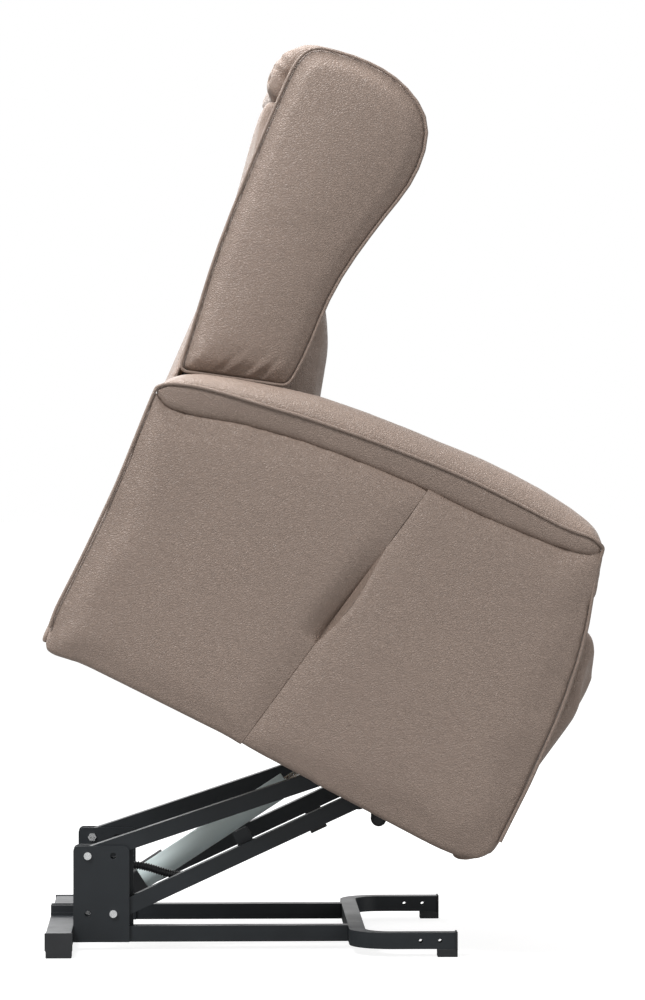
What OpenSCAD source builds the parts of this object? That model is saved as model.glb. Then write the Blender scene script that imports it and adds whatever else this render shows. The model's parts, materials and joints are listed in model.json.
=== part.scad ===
// Lift recliner: a powered armchair on a tilting four-bar stand, drawn in its raised position.
// The sitter faces +X, their right hand is on -Y, and the stand rests on Z = 0.

/* [Chair body] */
// Width over the two armrests
body_w = 720; // [640:5:800]
// Forward tilt of the raised chair, degrees
lift_tilt = 27; // [20:0.5:30]
// Width of one armrest
arm_w = 113; // [105:1:125]
// Height of the armrest crown above the main pivot
arm_h = 561; // [540:1:590]
// Place of the arm's front face ahead of the main pivot
arm_front_x = 211; // [200:1:225]
// How far the arm's front edge leans back at its top
arm_lean = 56; // [30:1:60]
// Rear face of the body behind the main pivot
body_rear_x = 556; // [550:1:570]

/* [Stand] */
// Width over the end caps of the stand
base_w = 570; // [540:2:620]
// Depth of the rear cross tube
rear_tube_d = 40; // [36:1:44]
// Side of the square steel tube
tube = 25; // [22:1:27]
// Wall of the square steel tube
tube_wall = 2; // [1.5:0.1:3]
// Height of the tubes above the floor
foot_h = 12.5; // [10:0.5:16]
// Width over the two side rails
rail_span = 346; // [330:2:380]
// Length of the side rails
rail_len = 429.5; // [420:0.5:450]
// Reach of the front fork from its crossbar to its ends
fork_reach = 165; // [150:1:190]
// Outer bend radius of the fork
fork_bend_r = 65; // [50:1:75]
// Radius of the fixing holes in the fork
fork_hole_r = 3; // [2:0.1:4]
// Spacing of the two fixing holes in each fork arm
fork_hole_pitch = 30; // [24:1:36]
// Length of a foot pad
foot_len = 31; // [26:1:36]

/* [Upright plates] */
// Length of an upright plate
plate_len = 87.5; // [84:0.5:94]
// Height of the upright plates above the tube's underside
plate_h = 150.5; // [145:0.5:160]
// Thickness of an upright plate
plate_t = 5; // [3:0.5:6]
// Corner radius of an upright plate
plate_corner_r = 8; // [4:0.5:10]
// Distance between the two pivot columns of a plate
pivot_pitch_x = 40; // [38:0.5:42]
// Distance between the two pivot rows of a plate
pivot_pitch_z = 90.5; // [86:0.5:94]
// Height of the lower pivot row above the tube's underside
pivot_row_z = 44.5; // [43:0.5:48]
// Radius of the spare holes
spare_hole_r = 4.8; // [4:0.1:5.5]
// Radius of the main pivot bolts
bolt_r = 4; // [3.5:0.1:4.5]

/* [Lift linkage] */
// Length of the lower links between pivots
lower_link_len = 422; // [418:0.5:430]
// Rise of the lower links in the raised position, degrees
lower_link_rise = 24.8; // [24:0.1:26]
// Distance of the upper link's pivot behind the main pivot
upper_pivot_back = 37.4; // [35:0.1:40]
// Distance of the upper link's pivot above the main pivot
upper_pivot_rise = 35.4; // [34:0.1:38]
// Radius of the round link ends
link_end_r = 15; // [14:0.5:16]
// Radius of the round cross tubes
cross_tube_r = 12.5; // [11:0.5:13]

/* [Actuators] */
// Radius of an actuator's outer tube
ram_tube_r = 18.5; // [16:0.5:20]
// Length of the lift actuator's rod that shows in front of its tube
lift_rod_show = 64; // [56:2:80]
// Length of an actuator's motor and gear housing
ram_housing_len = 100; // [96:1:104]
// Radius of an actuator's inner rod
ram_rod_r = 10; // [8:0.5:12]
// Radius of an actuator's mounting pins
ram_pin_r = 5; // [4:0.25:6]

/* [Seat] */
// Depth of the seat cushion
seat_len = 484; // [476:1:487]
// Thickness of the seat cushion at its piping
seat_t = 125; // [100:1:140]
// Rise of the seat cushion's crown
seat_crown = 26; // [10:1:32]
// Height of the seat frame's timber
seat_rail_h = 38; // [30:1:42]
// Width of the seat frame's timber
seat_rail_w = 45; // [38:1:50]

/* [Back] */
// Height of the wings
wing_h = 545; // [520:1:560]
// Depth of the wings
wing_d = 241; // [220:1:250]
// Thickness of a wing
wing_t = 70; // [55:1:78]
// Distance from the chair's centre to a wing's inner face
wing_in = 215; // [205:1:222]
// Height of the back hinge above the main pivot
back_hinge_z = 300; // [296:1:304]

/* [Legrest] */
// Height of the legrest pad
legrest_h = 416; // [400:1:420]
// Thickness of the legrest pad at its fullest
legrest_t = 62; // [50:1:66]

/* [Hidden] */

$fn = 48;
leather = "#8b796e";
steel = "#35373b";
plastic = "#1b1c1e";
silver = "#c9cbcb";
grey = "#87938f";
timber = "#c79f6a";
rubber = "#262626";

// Clearances and the overrun of every cut
seat_gap = 0.3;
run_gap = 0.5;
fit_gap = 0.1;
over = 1;

// Stand: heights, places along the depth, and the stack across the width
cap_lip = 1.5;
cap_t = 3;
cap_plug = 20;
tube_mid_z = foot_h + tube/2;
rear_tube_x = cap_lip;
rail_x = rear_tube_x + rear_tube_d;
fork_x = rail_x + rail_len;
fork_end_x = fork_x + fork_reach - cap_t;
rail_out = rail_span/2;
rail_in = rail_out - tube;
fork_hole_back = 27;
fork_hole_x = fork_end_x + cap_t - fork_hole_back - fork_hole_pitch;
inner_plate_extra = 6;
inner_plate_t = 4;
nut_t = 4;
nut_r = 7;
pivot_inset_x = 22.5;
link_w = tube - 2*run_gap;
link_mid_y = rail_out - tube/2;
link_in = link_mid_y - link_w/2;
link_out = link_mid_y + link_w/2;
bolt_head_r = 1.48*bolt_r;
bolt_head_t = 0.9*bolt_r;
bush_t = 2;
bush_in = bolt_r + seat_gap;
bush_out = bush_in + bush_t;
link_tail = 12.5;
tab_at = 233;
tab_len = 26;
tab_rise = 22;
tab_t = 4;
bumper_at = 333;
bumper_len = 27;
bumper_t = 4.5;

// Linkage: fixed pivots, then the raised places of the moving ones
pivot_a = [rail_x + pivot_inset_x, foot_h + pivot_row_z + pivot_pitch_z];
pivot_b = [rail_x + pivot_inset_x + pivot_pitch_x, foot_h + pivot_row_z];
spare_a = [pivot_b.x, pivot_a.y];
spare_b = [pivot_a.x, pivot_b.y];
pivot_d = pivot_b + lower_link_len*[cos(lower_link_rise), sin(lower_link_rise)];
function tilted(p) = pivot_d + [p.x*cos(lift_tilt) + p.y*sin(lift_tilt),
    p.y*cos(lift_tilt) - p.x*sin(lift_tilt)];
pivot_c = tilted([-upper_pivot_back, upper_pivot_rise]);
upper_link_len = norm(pivot_c - pivot_a);
upper_link_rise = atan2(pivot_c.y - pivot_a.y, pivot_c.x - pivot_a.x);

// Lift actuator: its rear pin on the saddle and its front pin on the upper cross tube
ram_rear_rise = 28.5;
ram_rear = [rail_x + pivot_inset_x, foot_h + ram_rear_rise];
ram_lug_back = 35.9;
ram_lug_rise = 11.3;
ram_front = pivot_c + [-ram_lug_back*cos(upper_link_rise) - ram_lug_rise*sin(upper_link_rise),
    ram_lug_rise*cos(upper_link_rise) - ram_lug_back*sin(upper_link_rise)];
lift_ram_len = norm(ram_front - ram_rear);
lift_ram_rise = atan2(ram_front.y - ram_rear.y, ram_front.x - ram_rear.x);
ram_eye_r = 2.4*ram_pin_r;
ram_eye_t = 21;
ram_ear_t = 5;
ram_ear_in = ram_eye_t/2 + run_gap;
ram_ear_out = ram_ear_in + ram_ear_t;
ram_ear_r = 11;
ram_pin_end = ram_ear_out + 3*run_gap;
saddle_t = 5;
saddle_half = 22;
saddle_rise = 16;
housing_half_y = 24;
housing_half_z = 22;
housing_round = 8;
housing_start = 1.25*ram_eye_r;
gear_start = 30;
gear_len = 34;
motor_r = 19;
motor_y = 44;
motor_len = 82;
ram_tube_wall = 2.5;
lift_tube_len = lift_ram_len - ram_housing_len - lift_rod_show;
ram_guide_len = 10;
// The open pivots take up what a fixed ratio between the moving pieces leaves over
ram_slack = 2.6;
pivot_slack = 3.3;
back_slack = 4.6;
rod_eye_wall = 4.4;
washer_r = bolt_r + pivot_slack + bolt_head_t;

// Centre of the whole part along its depth
arm_nose_in = 8;
nose_rise_share = 0.9204;
nose = tilted([arm_front_x - arm_lean - arm_nose_in, nose_rise_share*arm_h]);
part_mid_x = nose.x/2;

// Carriage under the seat, in the chair's own level frame with the main pivot at its origin
side_gap = 0.8;
side_in = rail_out + side_gap;
side_out = side_in + plate_t;
web_low_z = 115;
web_top_z = 226;
web_front_x = 130;
web_rear_x = -540;
flange_w = 45;
flange_t = 4;
cross_front_x = 82;
cross_mid_x = -100;
cross_rear_x = -487;
cross_front_z = 162;
cross_low_z = 132;
lightening_r = 30;
lightening_z = 172;
lightening_x = [-420, -330, -240, -20, 62];
hinge_ear_r = 14;
upper_lobe_r = 16;
buffer = [39.9, -11.1];
buffer_r = 12;
buffer_len = 16;
buffer_lobe_r = 8;
box_x = -425;
box_len = 150;
box_z = 136;
box_h = 54;
box_w = 38;
box_round = 5;

// Seat, arms and body, level frame
seat_z = web_top_z + flange_t;
web_strap_t = 2;
web_strap_w = 50;
seat_frame_front_x = 140;
seat_frame_rear_x = -318;
cushion_z = seat_z + seat_rail_h + 2*web_strap_t + seat_gap;
cushion_side_gap = 8;
seat_front_x = 151;
seat_rear_x = seat_front_x - seat_len;
arm_out = body_w/2;
arm_in = arm_out - arm_w;
arm_rear_x = -572;
arm_len = arm_front_x - arm_lean - arm_nose_in - arm_rear_x;
frame_side_gap = 2;
seat_frame_half = arm_in - frame_side_gap;
pad_t = 12;
board_t = 15;
outer_pad_t = 21;
border_proud = 6;
board_out = arm_out - border_proud - outer_pad_t;
panel_foot_z = 6;
seam_foot_x = -211;
arm_front_z = 51;
arm_neck_share = 0.861;
arm_neck_z = arm_neck_share*arm_h;
waist_z = 150;
rear_flare = 15;
valance_t = 14;
valance_drop = 10;
valance_top_z = back_hinge_z - valance_drop;
rear_neck_share = 0.72;
rear_neck_z = rear_neck_share*arm_h;

// Armrest heights along its length: pairs of a share of the length and a share of the height
arm_low_shares = [[0, 0.749], [0.017, 0.737], [0.039, 0.727], [0.082, 0.738], [0.193, 0.78],
    [0.321, 0.813], [0.42, 0.832], [0.611, 0.85], [0.759, 0.857], [0.899, 0.872], [0.965, 0.884],
    [1, 0.9]];
arm_pipe_shares = [[0, 0.768], [0.011, 0.786], [0.042, 0.805], [0.082, 0.822], [0.142, 0.838],
    [0.177, 0.846], [0.353, 0.888], [0.566, 0.92], [0.666, 0.93], [0.794, 0.932], [0.905, 0.93],
    [0.94, 0.936], [0.972, 0.943], [1, 0.929]];
arm_top_shares = [[0, 0.779], [0.018, 0.815], [0.035, 0.834], [0.068, 0.856], [0.157, 0.893],
    [0.231, 0.92], [0.274, 0.936], [0.32, 0.95], [0.423, 0.968], [0.573, 0.987], [0.681, 0.998],
    [0.75, 1], [0.85, 0.998], [0.91, 0.989], [0.957, 0.979], [0.98, 0.966], [1, 0.938]];
arm_width_shares = [[0, 0.8], [0.02, 0.94], [0.055, 1], [0.965, 1], [0.985, 0.96], [1, 0.84]];
arm_station_shares = [0, 0.017, 0.039, 0.068, 0.1, 0.142, 0.193, 0.255, 0.321, 0.42, 0.515, 0.611,
    0.69, 0.759, 0.83, 0.899, 0.94, 0.965, 0.985, 1];
rear_dip_station = 2;
inner_rear_station = 3;
seam_station = 7;
neck_station = 9;
nose_station = len(arm_low_shares) - 1;
seam_top_x = arm_rear_x + arm_low_shares[seam_station][0]*arm_len;

// Back, level frame
back_hinge_x = -532;
back_lean = 2.9;
post_d = 20;
back_top_z = 905;
back_drop = 4;
back_bottom_z = cushion_z - back_drop;
wing_x = -608;
wing_z = 482;
lever = [15, -95];
back_lug_rise = 40;
back_ram_rear = [cross_mid_x, cross_low_z + back_lug_rise];
back_ram_front = [back_hinge_x, back_hinge_z] + lever;
back_ram_y = -60;
back_ram_len = norm(back_ram_front - back_ram_rear);
back_ram_turn = atan2(back_ram_front.y - back_ram_rear.y, back_ram_front.x - back_ram_rear.x);
back_tube_len = 190;

// Legrest, level frame
legrest_hinge = [189, 380];
legrest_foot_z = -17;
legrest_back_x = 152;
legrest_side_gap = 14;
legrest_half = arm_in - legrest_side_gap;
bracket_t = 4;
bracket_side_gap = 3;
bracket_out = arm_in - bracket_side_gap;

// Cable conduit: its points run from the gland to the clip on the right lower link
conduit_r = 6.6;
conduit_bore_r = 4;
conduit_route = [[82, -130, 122], [96, -130, 122], [112, -129, 125.5], [128, -128, 128.5],
    [144, -127, 127.5], [160, -127, 124], [176, -128, 119], [192, -130, 114.5], [208, -132, 113],
    [224, -134, 115.5], [240, -135, 121], [256, -136, 127], [272, -136, 134], [288, -136, 141]];

// Shapes that repeat

module base_frame() translate([-part_mid_x, 0, 0]) children();

module chair_frame()
    base_frame() translate([pivot_d.x, 0, pivot_d.y]) rotate([0, lift_tilt, 0]) children();

module lower_frame()
    base_frame() translate([pivot_b.x, 0, pivot_b.y]) rotate([0, -lower_link_rise, 0]) children();

module upper_frame()
    base_frame() translate([pivot_a.x, 0, pivot_a.y]) rotate([0, -upper_link_rise, 0]) children();

// Turns an outline of X and Z upright; its height then points to the sitter's right
module upright(y = 0) translate([0, y, 0]) rotate([90, 0, 0]) children();

// Turns an outline of Y and Z upright; its height then points forward
module facing() rotate([90, 0, 90]) children();

module left() mirror([0, 1, 0]) children();

module both_sides() {
    children();
    mirror([0, 1, 0]) children();
}

module cross_cylinder(r, y0, y1) translate([0, y1, 0]) rotate([90, 0, 0]) cylinder(r = r, h = y1 - y0);

module square_tube(len, w = tube, h = tube) {
    rotate([90, 0, 90]) linear_extrude(len) difference() {
        square([w, h], center = true);
        square([w - 2*tube_wall, h - 2*tube_wall], center = true);
    }
}

module round_tube(r, y0, y1, wall = tube_wall) {
    difference() {
        cross_cylinder(r, y0, y1);
        cross_cylinder(r - wall, y0 - over, y1 + over);
    }
}

module bolt(r, y0, y1) {
    cross_cylinder(r, y0, y1);
    cross_cylinder(bolt_head_r*r/bolt_r, y0 - bolt_head_t, y0);
}

// A closed outline from corners of [x, y, setback]: each corner turns along a short curve
function unit(v) = v/norm(v);
function flat(p) = [p.x, p.y];
function turned(pts, n = 2) = let (m = len(pts)) [
    for (i = [0 : m - 1])
        let (v = flat(pts[i]), a = flat(pts[(i + m - 1)%m]), b = flat(pts[(i + 1)%m]), s = pts[i][2],
            p = v + unit(a - v)*min(s, norm(a - v)/2), q = v + unit(b - v)*min(s, norm(b - v)/2))
            for (k = [0 : n]) let (t = k/n) p*(1 - t)*(1 - t) + v*2*t*(1 - t) + q*t*t];

// A rounded outline between two corners whose sides are drawn in by pull
function cushion_outline(lo, hi, r, pull = 0) = let (m = (lo + hi)/2) turned([
    [lo.x, lo.y, r], [m.x, lo.y + pull, 2*r], [hi.x, lo.y, r], [hi.x - pull, m.y, 2*r],
    [hi.x, hi.y, r], [m.x, hi.y - pull, 2*r], [lo.x, hi.y, r], [lo.x + pull, m.y, 2*r]]);

function low_corner(o) = [min([for (p = o) p.x]), min([for (p = o) p.y])];
function high_corner(o) = [max([for (p = o) p.x]), max([for (p = o) p.y])];

// The outline drawn in towards a middle point, by default its box's, above a small remainder
function drawn_in(o, d, middle) = let (a = low_corner(o), b = high_corner(o), h = (b - a)/2,
    c = is_undef(middle) ? (a + b)/2 : middle, kx = max(1 - d/h.x, 0.05), ky = max(1 - d/h.y, 0.05))
    [for (p = o) [c.x + (p.x - c.x)*kx, c.y + (p.y - c.y)*ky]];

function centre_of(ring) = [for (k = [0 : 2]) ([for (p = ring) 1]*[for (p = ring) p[k]])/len(ring)];

// A closed skin over rings of equal count
module loft(rings) {
    n = len(rings[0]);
    m = len(rings);
    points = concat([for (r = rings) each r], [centre_of(rings[0]), centre_of(rings[m - 1])]);
    sides = [for (i = [0 : m - 2], j = [0 : n - 1], k = [0, 1])
        let (a = i*n + j, b = a + n, c = (i + 1)*n + (j + 1)%n, d = i*n + (j + 1)%n)
            k == 0 ? [a, b, c] : [a, c, d]];
    foot = [for (j = [0 : n - 1]) [m*n, j, (j + 1)%n]];
    head = [for (j = [0 : n - 1]) [m*n + 1, (m - 1)*n + (j + 1)%n, (m - 1)*n + j]];
    polyhedron(points = points, faces = concat(sides, foot, head), convexity = 6);
}

// A padded form: an outline, a back and a front surface, a soft edge and a crown.
// The profile runs from the middle of the back, round the edge, to the middle of the front.
function soft_profile(edge, crown_back_share, crown_front_share, pull = 0, turn_share = 0.16,
    steps = 2) = concat(
    crown_back_share > 0 ? [[9*edge, -crown_back_share], [3*edge, -0.55*crown_back_share]] : [],
    [for (k = [0 : steps]) let (a = 90*k/steps) [edge*(1 - sin(a)), turn_share*(1 - cos(a))]],
    pull > 0 ? [[pull, 0.36], [pull, 0.64]] : [],
    [for (k = [0 : steps]) let (a = 90*k/steps) [edge*(1 - cos(a)), 1 - turn_share + turn_share*sin(a)]],
    [[2.6*edge, 1 + 0.5*crown_front_share], [6*edge, 1 + 0.82*crown_front_share],
    [12*edge, 1 + crown_front_share]]);

module padded(outline, profile, back, front, middle) {
    loft([for (s = profile) let (o = drawn_in(outline, s[0], middle))
        [for (p = o) [p.x, p.y, back(p) + (front(p) - back(p))*s[1]]]]);
}

// Straight-sided strap with round ends, from p to q
module strap(p, q, r) {
    v = q - p;
    translate(p) circle(r);
    translate(q) circle(r);
    translate(p) rotate(atan2(v.y, v.x)) translate([0, -r]) square([norm(v), 2*r]);
}

module rounded_square(size, r) {
    translate([r, 0]) square([size.x - 2*r, size.y]);
    translate([0, r]) square([size.x, size.y - 2*r]);
    for (x = [r, size.x - r], y = [r, size.y - r]) translate([x, y]) circle(r);
}

// Stand

module rear_cross_tube() color(steel) base_frame()
    translate([rear_tube_x + rear_tube_d/2, -(base_w/2 - cap_t), tube_mid_z]) rotate([0, 0, 90])
        square_tube(base_w - 2*cap_t, rear_tube_d, tube);

plug_inset = tube_wall + seat_gap;
fork_half = base_w/2 - cap_lip;

module rear_cap() {
    translate([0, -base_w/2, foot_h - cap_lip])
        cube([rear_tube_d + 2*cap_lip, cap_t, tube + 2*cap_lip]);
    translate([rear_tube_x, -base_w/2, 0]) cube([rear_tube_d, foot_len, foot_h]);
    translate([rear_tube_x + plug_inset, -base_w/2, foot_h + plug_inset])
        cube([rear_tube_d - 2*plug_inset, cap_t + cap_plug, tube - 2*plug_inset]);
}

module fork_cap() {
    translate([fork_end_x, -fork_half - cap_lip, foot_h - cap_lip])
        cube([cap_t, tube + 2*cap_lip, tube + 2*cap_lip]);
    translate([fork_end_x + cap_t - foot_len, -fork_half, 0]) cube([foot_len, tube, foot_h]);
    translate([fork_end_x - cap_plug, -fork_half + plug_inset, foot_h + plug_inset])
        cube([cap_t + cap_plug, tube - 2*plug_inset, tube - 2*plug_inset]);
}

module end_caps() color(plastic) base_frame() both_sides() {
    rear_cap();
    fork_cap();
}

module side_rail_right() color(steel) base_frame()
    translate([rail_x, -link_mid_y, tube_mid_z]) square_tube(rail_len);

module side_rail_left() left() side_rail_right();

// The fork's path filled with a square section of side w; open ends run on by extra
module fork_path(w, extra = 0) {
    straight = fork_half - fork_bend_r;
    translate([fork_x + tube/2 - w/2, -straight, tube_mid_z - w/2]) cube([w, 2*straight, w]);
    both_sides() {
        translate([fork_x + fork_bend_r, -straight, tube_mid_z]) rotate([0, 0, 180])
            rotate_extrude(angle = 90) translate([fork_bend_r - tube/2, 0]) square(w, center = true);
        translate([fork_x + fork_bend_r, -fork_half + tube/2 - w/2, tube_mid_z - w/2])
            cube([fork_end_x - fork_x - fork_bend_r + extra, w, w]);
    }
}

module front_fork() color(steel) base_frame() difference() {
    fork_path(tube);
    fork_path(tube - 2*tube_wall, over);
    both_sides() for (k = [0, 1]) translate([fork_hole_x + k*fork_hole_pitch, 0, tube_mid_z])
        cross_cylinder(fork_hole_r, -fork_half - over, -fork_half + tube + over);
}

module upright_outline(len) difference() {
    union() {
        square([len, plate_h - plate_corner_r]);
        translate([plate_corner_r, 0]) square([len - 2*plate_corner_r, plate_h]);
        for (x = [plate_corner_r, len - plate_corner_r])
            translate([x, plate_h - plate_corner_r]) circle(plate_corner_r);
    }
    for (p = [pivot_a, pivot_b]) translate(p - [rail_x, foot_h]) circle(bolt_r + seat_gap);
    for (p = [spare_a, spare_b]) translate(p - [rail_x, foot_h]) circle(spare_hole_r);
}

module upright_right() color(steel) base_frame() translate([rail_x, 0, foot_h]) {
    upright(-rail_out) linear_extrude(plate_t) upright_outline(plate_len);
    upright(-rail_in + inner_plate_t) linear_extrude(inner_plate_t)
        upright_outline(plate_len + inner_plate_extra);
}

module upright_left() left() upright_right();

module actuator_saddle() color(steel) base_frame() {
    top = foot_h + tube;
    translate([rear_tube_x, -saddle_half, top]) cube([rear_tube_d, 2*saddle_half, saddle_t]);
    both_sides() upright(-ram_ear_in) linear_extrude(ram_ear_t) difference() {
        union() {
            translate(ram_rear) circle(ram_eye_r);
            translate([rear_tube_x, top]) square([rear_tube_d, saddle_rise]);
            translate([rail_x - over, ram_rear.y - ram_eye_r/2])
                square([pivot_inset_x + over, top + saddle_rise - ram_rear.y + ram_eye_r/2 - saddle_t]);
        }
        translate(ram_rear) circle(ram_pin_r + seat_gap);
        translate([rear_tube_x - over, 0]) square([rear_tube_d + over + seat_gap, top]);
    }
}

module base_pivot_bolts() color(silver) base_frame() {
    both_sides() for (p = [pivot_a, pivot_b]) translate([p.x, 0, p.y]) {
        inner = rail_in - inner_plate_t;
        bolt(bolt_r, -rail_out - plate_t, -inner + nut_t);
        cross_cylinder(nut_r, -inner, -inner + nut_t, $fn = 6);
    }
    translate([ram_rear.x, 0, ram_rear.y]) bolt(ram_pin_r, -ram_ear_out, ram_pin_end);
}

gland_len = 16;
gland_h = 18;
gland_w = rail_in - inner_plate_t + conduit_route[0].y + gland_h/2;
module conduit_gland() color(plastic) base_frame()
    translate([conduit_route[0].x - gland_len - seat_gap, -(rail_in - inner_plate_t),
        conduit_route[0].z - gland_h/2])
        cube([gland_len, gland_w, gland_h]);

// Links

module link(len, far_r, far_bore) difference() {
    union() {
        translate([-link_tail, 0, 0]) square_tube(len + link_tail, link_w, tube);
        cross_cylinder(tube/2, -link_w/2, link_w/2);
        translate([len, 0, 0]) cross_cylinder(far_r, -link_w/2, link_w/2);
    }
    cross_cylinder(bush_out + fit_gap, -link_w/2 - over, link_w/2 + over);
    translate([len, 0, 0]) cross_cylinder(far_bore, -link_w/2 - over, link_w/2 + over);
}

module lower_link_right() color(steel) lower_frame() {
    translate([0, -link_mid_y, 0]) link(lower_link_len, link_end_r, bush_out + fit_gap);
    translate([tab_at - tab_len/2, 0, tube/2]) upright(-link_in) linear_extrude(tab_t)
        intersection() {
            translate([0, -tab_rise]) rounded_square([tab_len, 2*tab_rise], tab_t);
            square([tab_len, tab_rise]);
        }
}

module lower_link_left() left() lower_link_right();

module lower_cross_tube() color(steel) lower_frame() translate([lower_link_len, 0, 0])
    round_tube(cross_tube_r, -link_in, link_in);

module link_bumpers() color(rubber) lower_frame() both_sides()
    translate([bumper_at, -link_out, -tube/2 - bumper_t]) cube([bumper_len, link_w, bumper_t]);

module bush() translate([0, -link_mid_y, 0]) difference() {
    cross_cylinder(bush_out, -link_w/2, link_w/2);
    cross_cylinder(bush_in, -link_w/2 - over, link_w/2 + over);
}

module lower_link_bushes() color(plastic) lower_frame() both_sides()
    for (x = [0, lower_link_len]) translate([x, 0, 0]) bush();

module upper_link_right() color(steel) upper_frame()
    translate([0, -link_mid_y, 0]) link(upper_link_len, tube/2, bolt_r + fit_gap);

module upper_link_left() left() upper_link_right();

module upper_cross_tube() color(steel) upper_frame() {
    translate([upper_link_len, 0, 0]) round_tube(cross_tube_r, -link_in, link_in);
    both_sides() upright(-ram_ear_in) linear_extrude(ram_ear_t) difference() {
        strap([upper_link_len - ram_lug_back, ram_lug_rise], [upper_link_len, 0], ram_ear_r);
        translate([upper_link_len - ram_lug_back, ram_lug_rise]) circle(ram_pin_r + fit_gap);
        translate([upper_link_len, 0]) circle(cross_tube_r - tube_wall);
    }
}

module upper_link_bushes() color(plastic) upper_frame() both_sides() bush();

module upper_pivot_pins() color(silver) base_frame() {
    both_sides() translate([pivot_c.x, 0, pivot_c.y]) {
        cross_cylinder(bolt_r, -side_out - run_gap, -link_in);
        cross_cylinder(washer_r, -side_out - run_gap - bolt_head_t, -side_out - run_gap);
    }
    translate([ram_front.x, 0, ram_front.y]) bolt(ram_pin_r, -ram_ear_out, ram_pin_end);
}

// Conduit: one ribbed tube with its bore along the route

conduit_ribs = 5;
conduit_sides = 8;
function route_point(r, s) = let (m = len(r) - 1, i = min(floor(s), m - 1), t = s - i,
    p = r[i], q = r[i + 1], a = i == 0 ? 2*p - q : r[i - 1], b = i == m - 1 ? 2*q - p : r[i + 2])
    0.5*(2*p + (q - a)*t + (2*a - 5*p + 4*q - b)*t*t + (3*p - a - 3*q + b)*t*t*t);
function route_ring(r, s, radius) = let (step = 0.02, m = len(r) - 1,
    t = unit(route_point(r, min(s + step, m)) - route_point(r, max(s - step, 0))),
    u = unit(cross([0, 1, 0], t)), v = cross(t, u))
    [for (k = [0 : conduit_sides - 1]) let (a = 360*k/conduit_sides)
        route_point(r, s) + radius*(cos(a)*u + sin(a)*v)];

module cable_conduit() color(rubber) base_frame() {
    m = len(conduit_route) - 1;
    n = conduit_sides;
    rows = 2*conduit_ribs*m;
    crest_depth = 1.1;
    outer = [for (i = [0 : rows]) route_ring(conduit_route, i/(2*conduit_ribs),
        conduit_r - crest_depth*(1 - i%2))];
    inner = [for (i = [0 : 2*m]) route_ring(conduit_route, i/2, conduit_bore_r)];
    first = (rows + 1)*n;
    wall = [for (i = [0 : rows - 1], j = [0 : n - 1], k = [0, 1])
        let (a = i*n + j, b = a + n, c = (i + 1)*n + (j + 1)%n, d = i*n + (j + 1)%n)
            k == 0 ? [a, b, c] : [a, c, d]];
    bore = [for (i = [0 : 2*m - 1], j = [0 : n - 1], k = [0, 1])
        let (a = first + i*n + j, b = a + n, c = first + (i + 1)*n + (j + 1)%n,
            d = first + i*n + (j + 1)%n) k == 0 ? [a, c, b] : [a, d, c]];
    rim = [for (e = [0, 1], j = [0 : n - 1], k = [0, 1])
        let (o = e*rows*n, i = first + e*2*m*n, a = o + j, b = o + (j + 1)%n, c = i + (j + 1)%n,
            d = i + j, f = k == 0 ? [a, b, c] : [a, c, d]) e == 0 ? f : [f[2], f[1], f[0]]];
    polyhedron(points = concat([for (r = outer) each r], [for (r = inner) each r]),
        faces = concat(wall, bore, rim), convexity = 6);
}

// Actuators, drawn along X from the rear pin

module ram_housing() difference() {
    union() {
        cross_cylinder(ram_eye_r, -ram_eye_t/2, ram_eye_t/2);
        translate([0, -ram_eye_t/2, -ram_eye_r]) cube([housing_start + over, ram_eye_t, 2*ram_eye_r]);
        translate([housing_start, -housing_half_y, -housing_half_z]) rotate([90, 0, 90])
            linear_extrude(ram_housing_len - housing_start)
                rounded_square([2*housing_half_y, 2*housing_half_z], housing_round);
        translate([gear_start, 0, 0]) rotate([90, 0, 90]) linear_extrude(gear_len)
            strap([0, 0], [motor_y, 0], housing_half_z);
        translate([gear_start, motor_y, 0]) rotate([0, 90, 0])
            cylinder(r = motor_r, h = gear_len + motor_len);
    }
    cross_cylinder(ram_pin_r + seat_gap, -ram_eye_t/2 - over, ram_eye_t/2 + over);
    translate([ram_housing_len, 0, 0]) rotate([0, -90, 0])
        cylinder(r = ram_rod_r + seat_gap, h = ram_guide_len);
}

module ram_tube(len) translate([ram_housing_len, 0, 0]) rotate([0, 90, 0]) difference() {
    cylinder(r = ram_tube_r, h = len);
    translate([0, 0, -over]) cylinder(r = ram_tube_r - ram_tube_wall, h = len - ram_guide_len + over);
    cylinder(r = ram_rod_r + seat_gap, h = len + over);
}

module ram_rod(tail, len, slack) difference() {
    union() {
        translate([tail, 0, 0]) rotate([0, 90, 0]) cylinder(r = ram_rod_r, h = len - tail);
        translate([len, 0, 0])
            cross_cylinder(ram_pin_r + slack + rod_eye_wall, -ram_eye_t/2, ram_eye_t/2);
    }
    translate([len, 0, 0]) cross_cylinder(ram_pin_r + slack, -ram_eye_t/2 - over, ram_eye_t/2 + over);
}

lift_stroke = 46;
back_stroke = 56;
rod_rest_gap = 6;

module lift_frame() base_frame() translate([ram_rear.x, 0, ram_rear.y]) rotate([0, -lift_ram_rise, 0])
    children();

module lift_motor_housing() color(plastic) lift_frame() ram_housing();

module lift_actuator_tube() color(grey) lift_frame() ram_tube(lift_tube_len);

module lift_actuator_rod() color(silver) lift_frame()
    ram_rod(ram_housing_len + lift_stroke + rod_rest_gap, lift_ram_len, ram_slack);

module back_ram_frame() chair_frame() translate([back_ram_rear.x, back_ram_y, back_ram_rear.y])
    rotate([0, -back_ram_turn, 0]) children();

module back_actuator_body() color(plastic) back_ram_frame() {
    ram_housing();
    ram_tube(back_tube_len);
}

module back_actuator_rod() color(silver) back_ram_frame()
    ram_rod(ram_housing_len + back_stroke + rod_rest_gap, back_ram_len, back_slack);

// Carriage: the steel under the seat that the links carry

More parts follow.
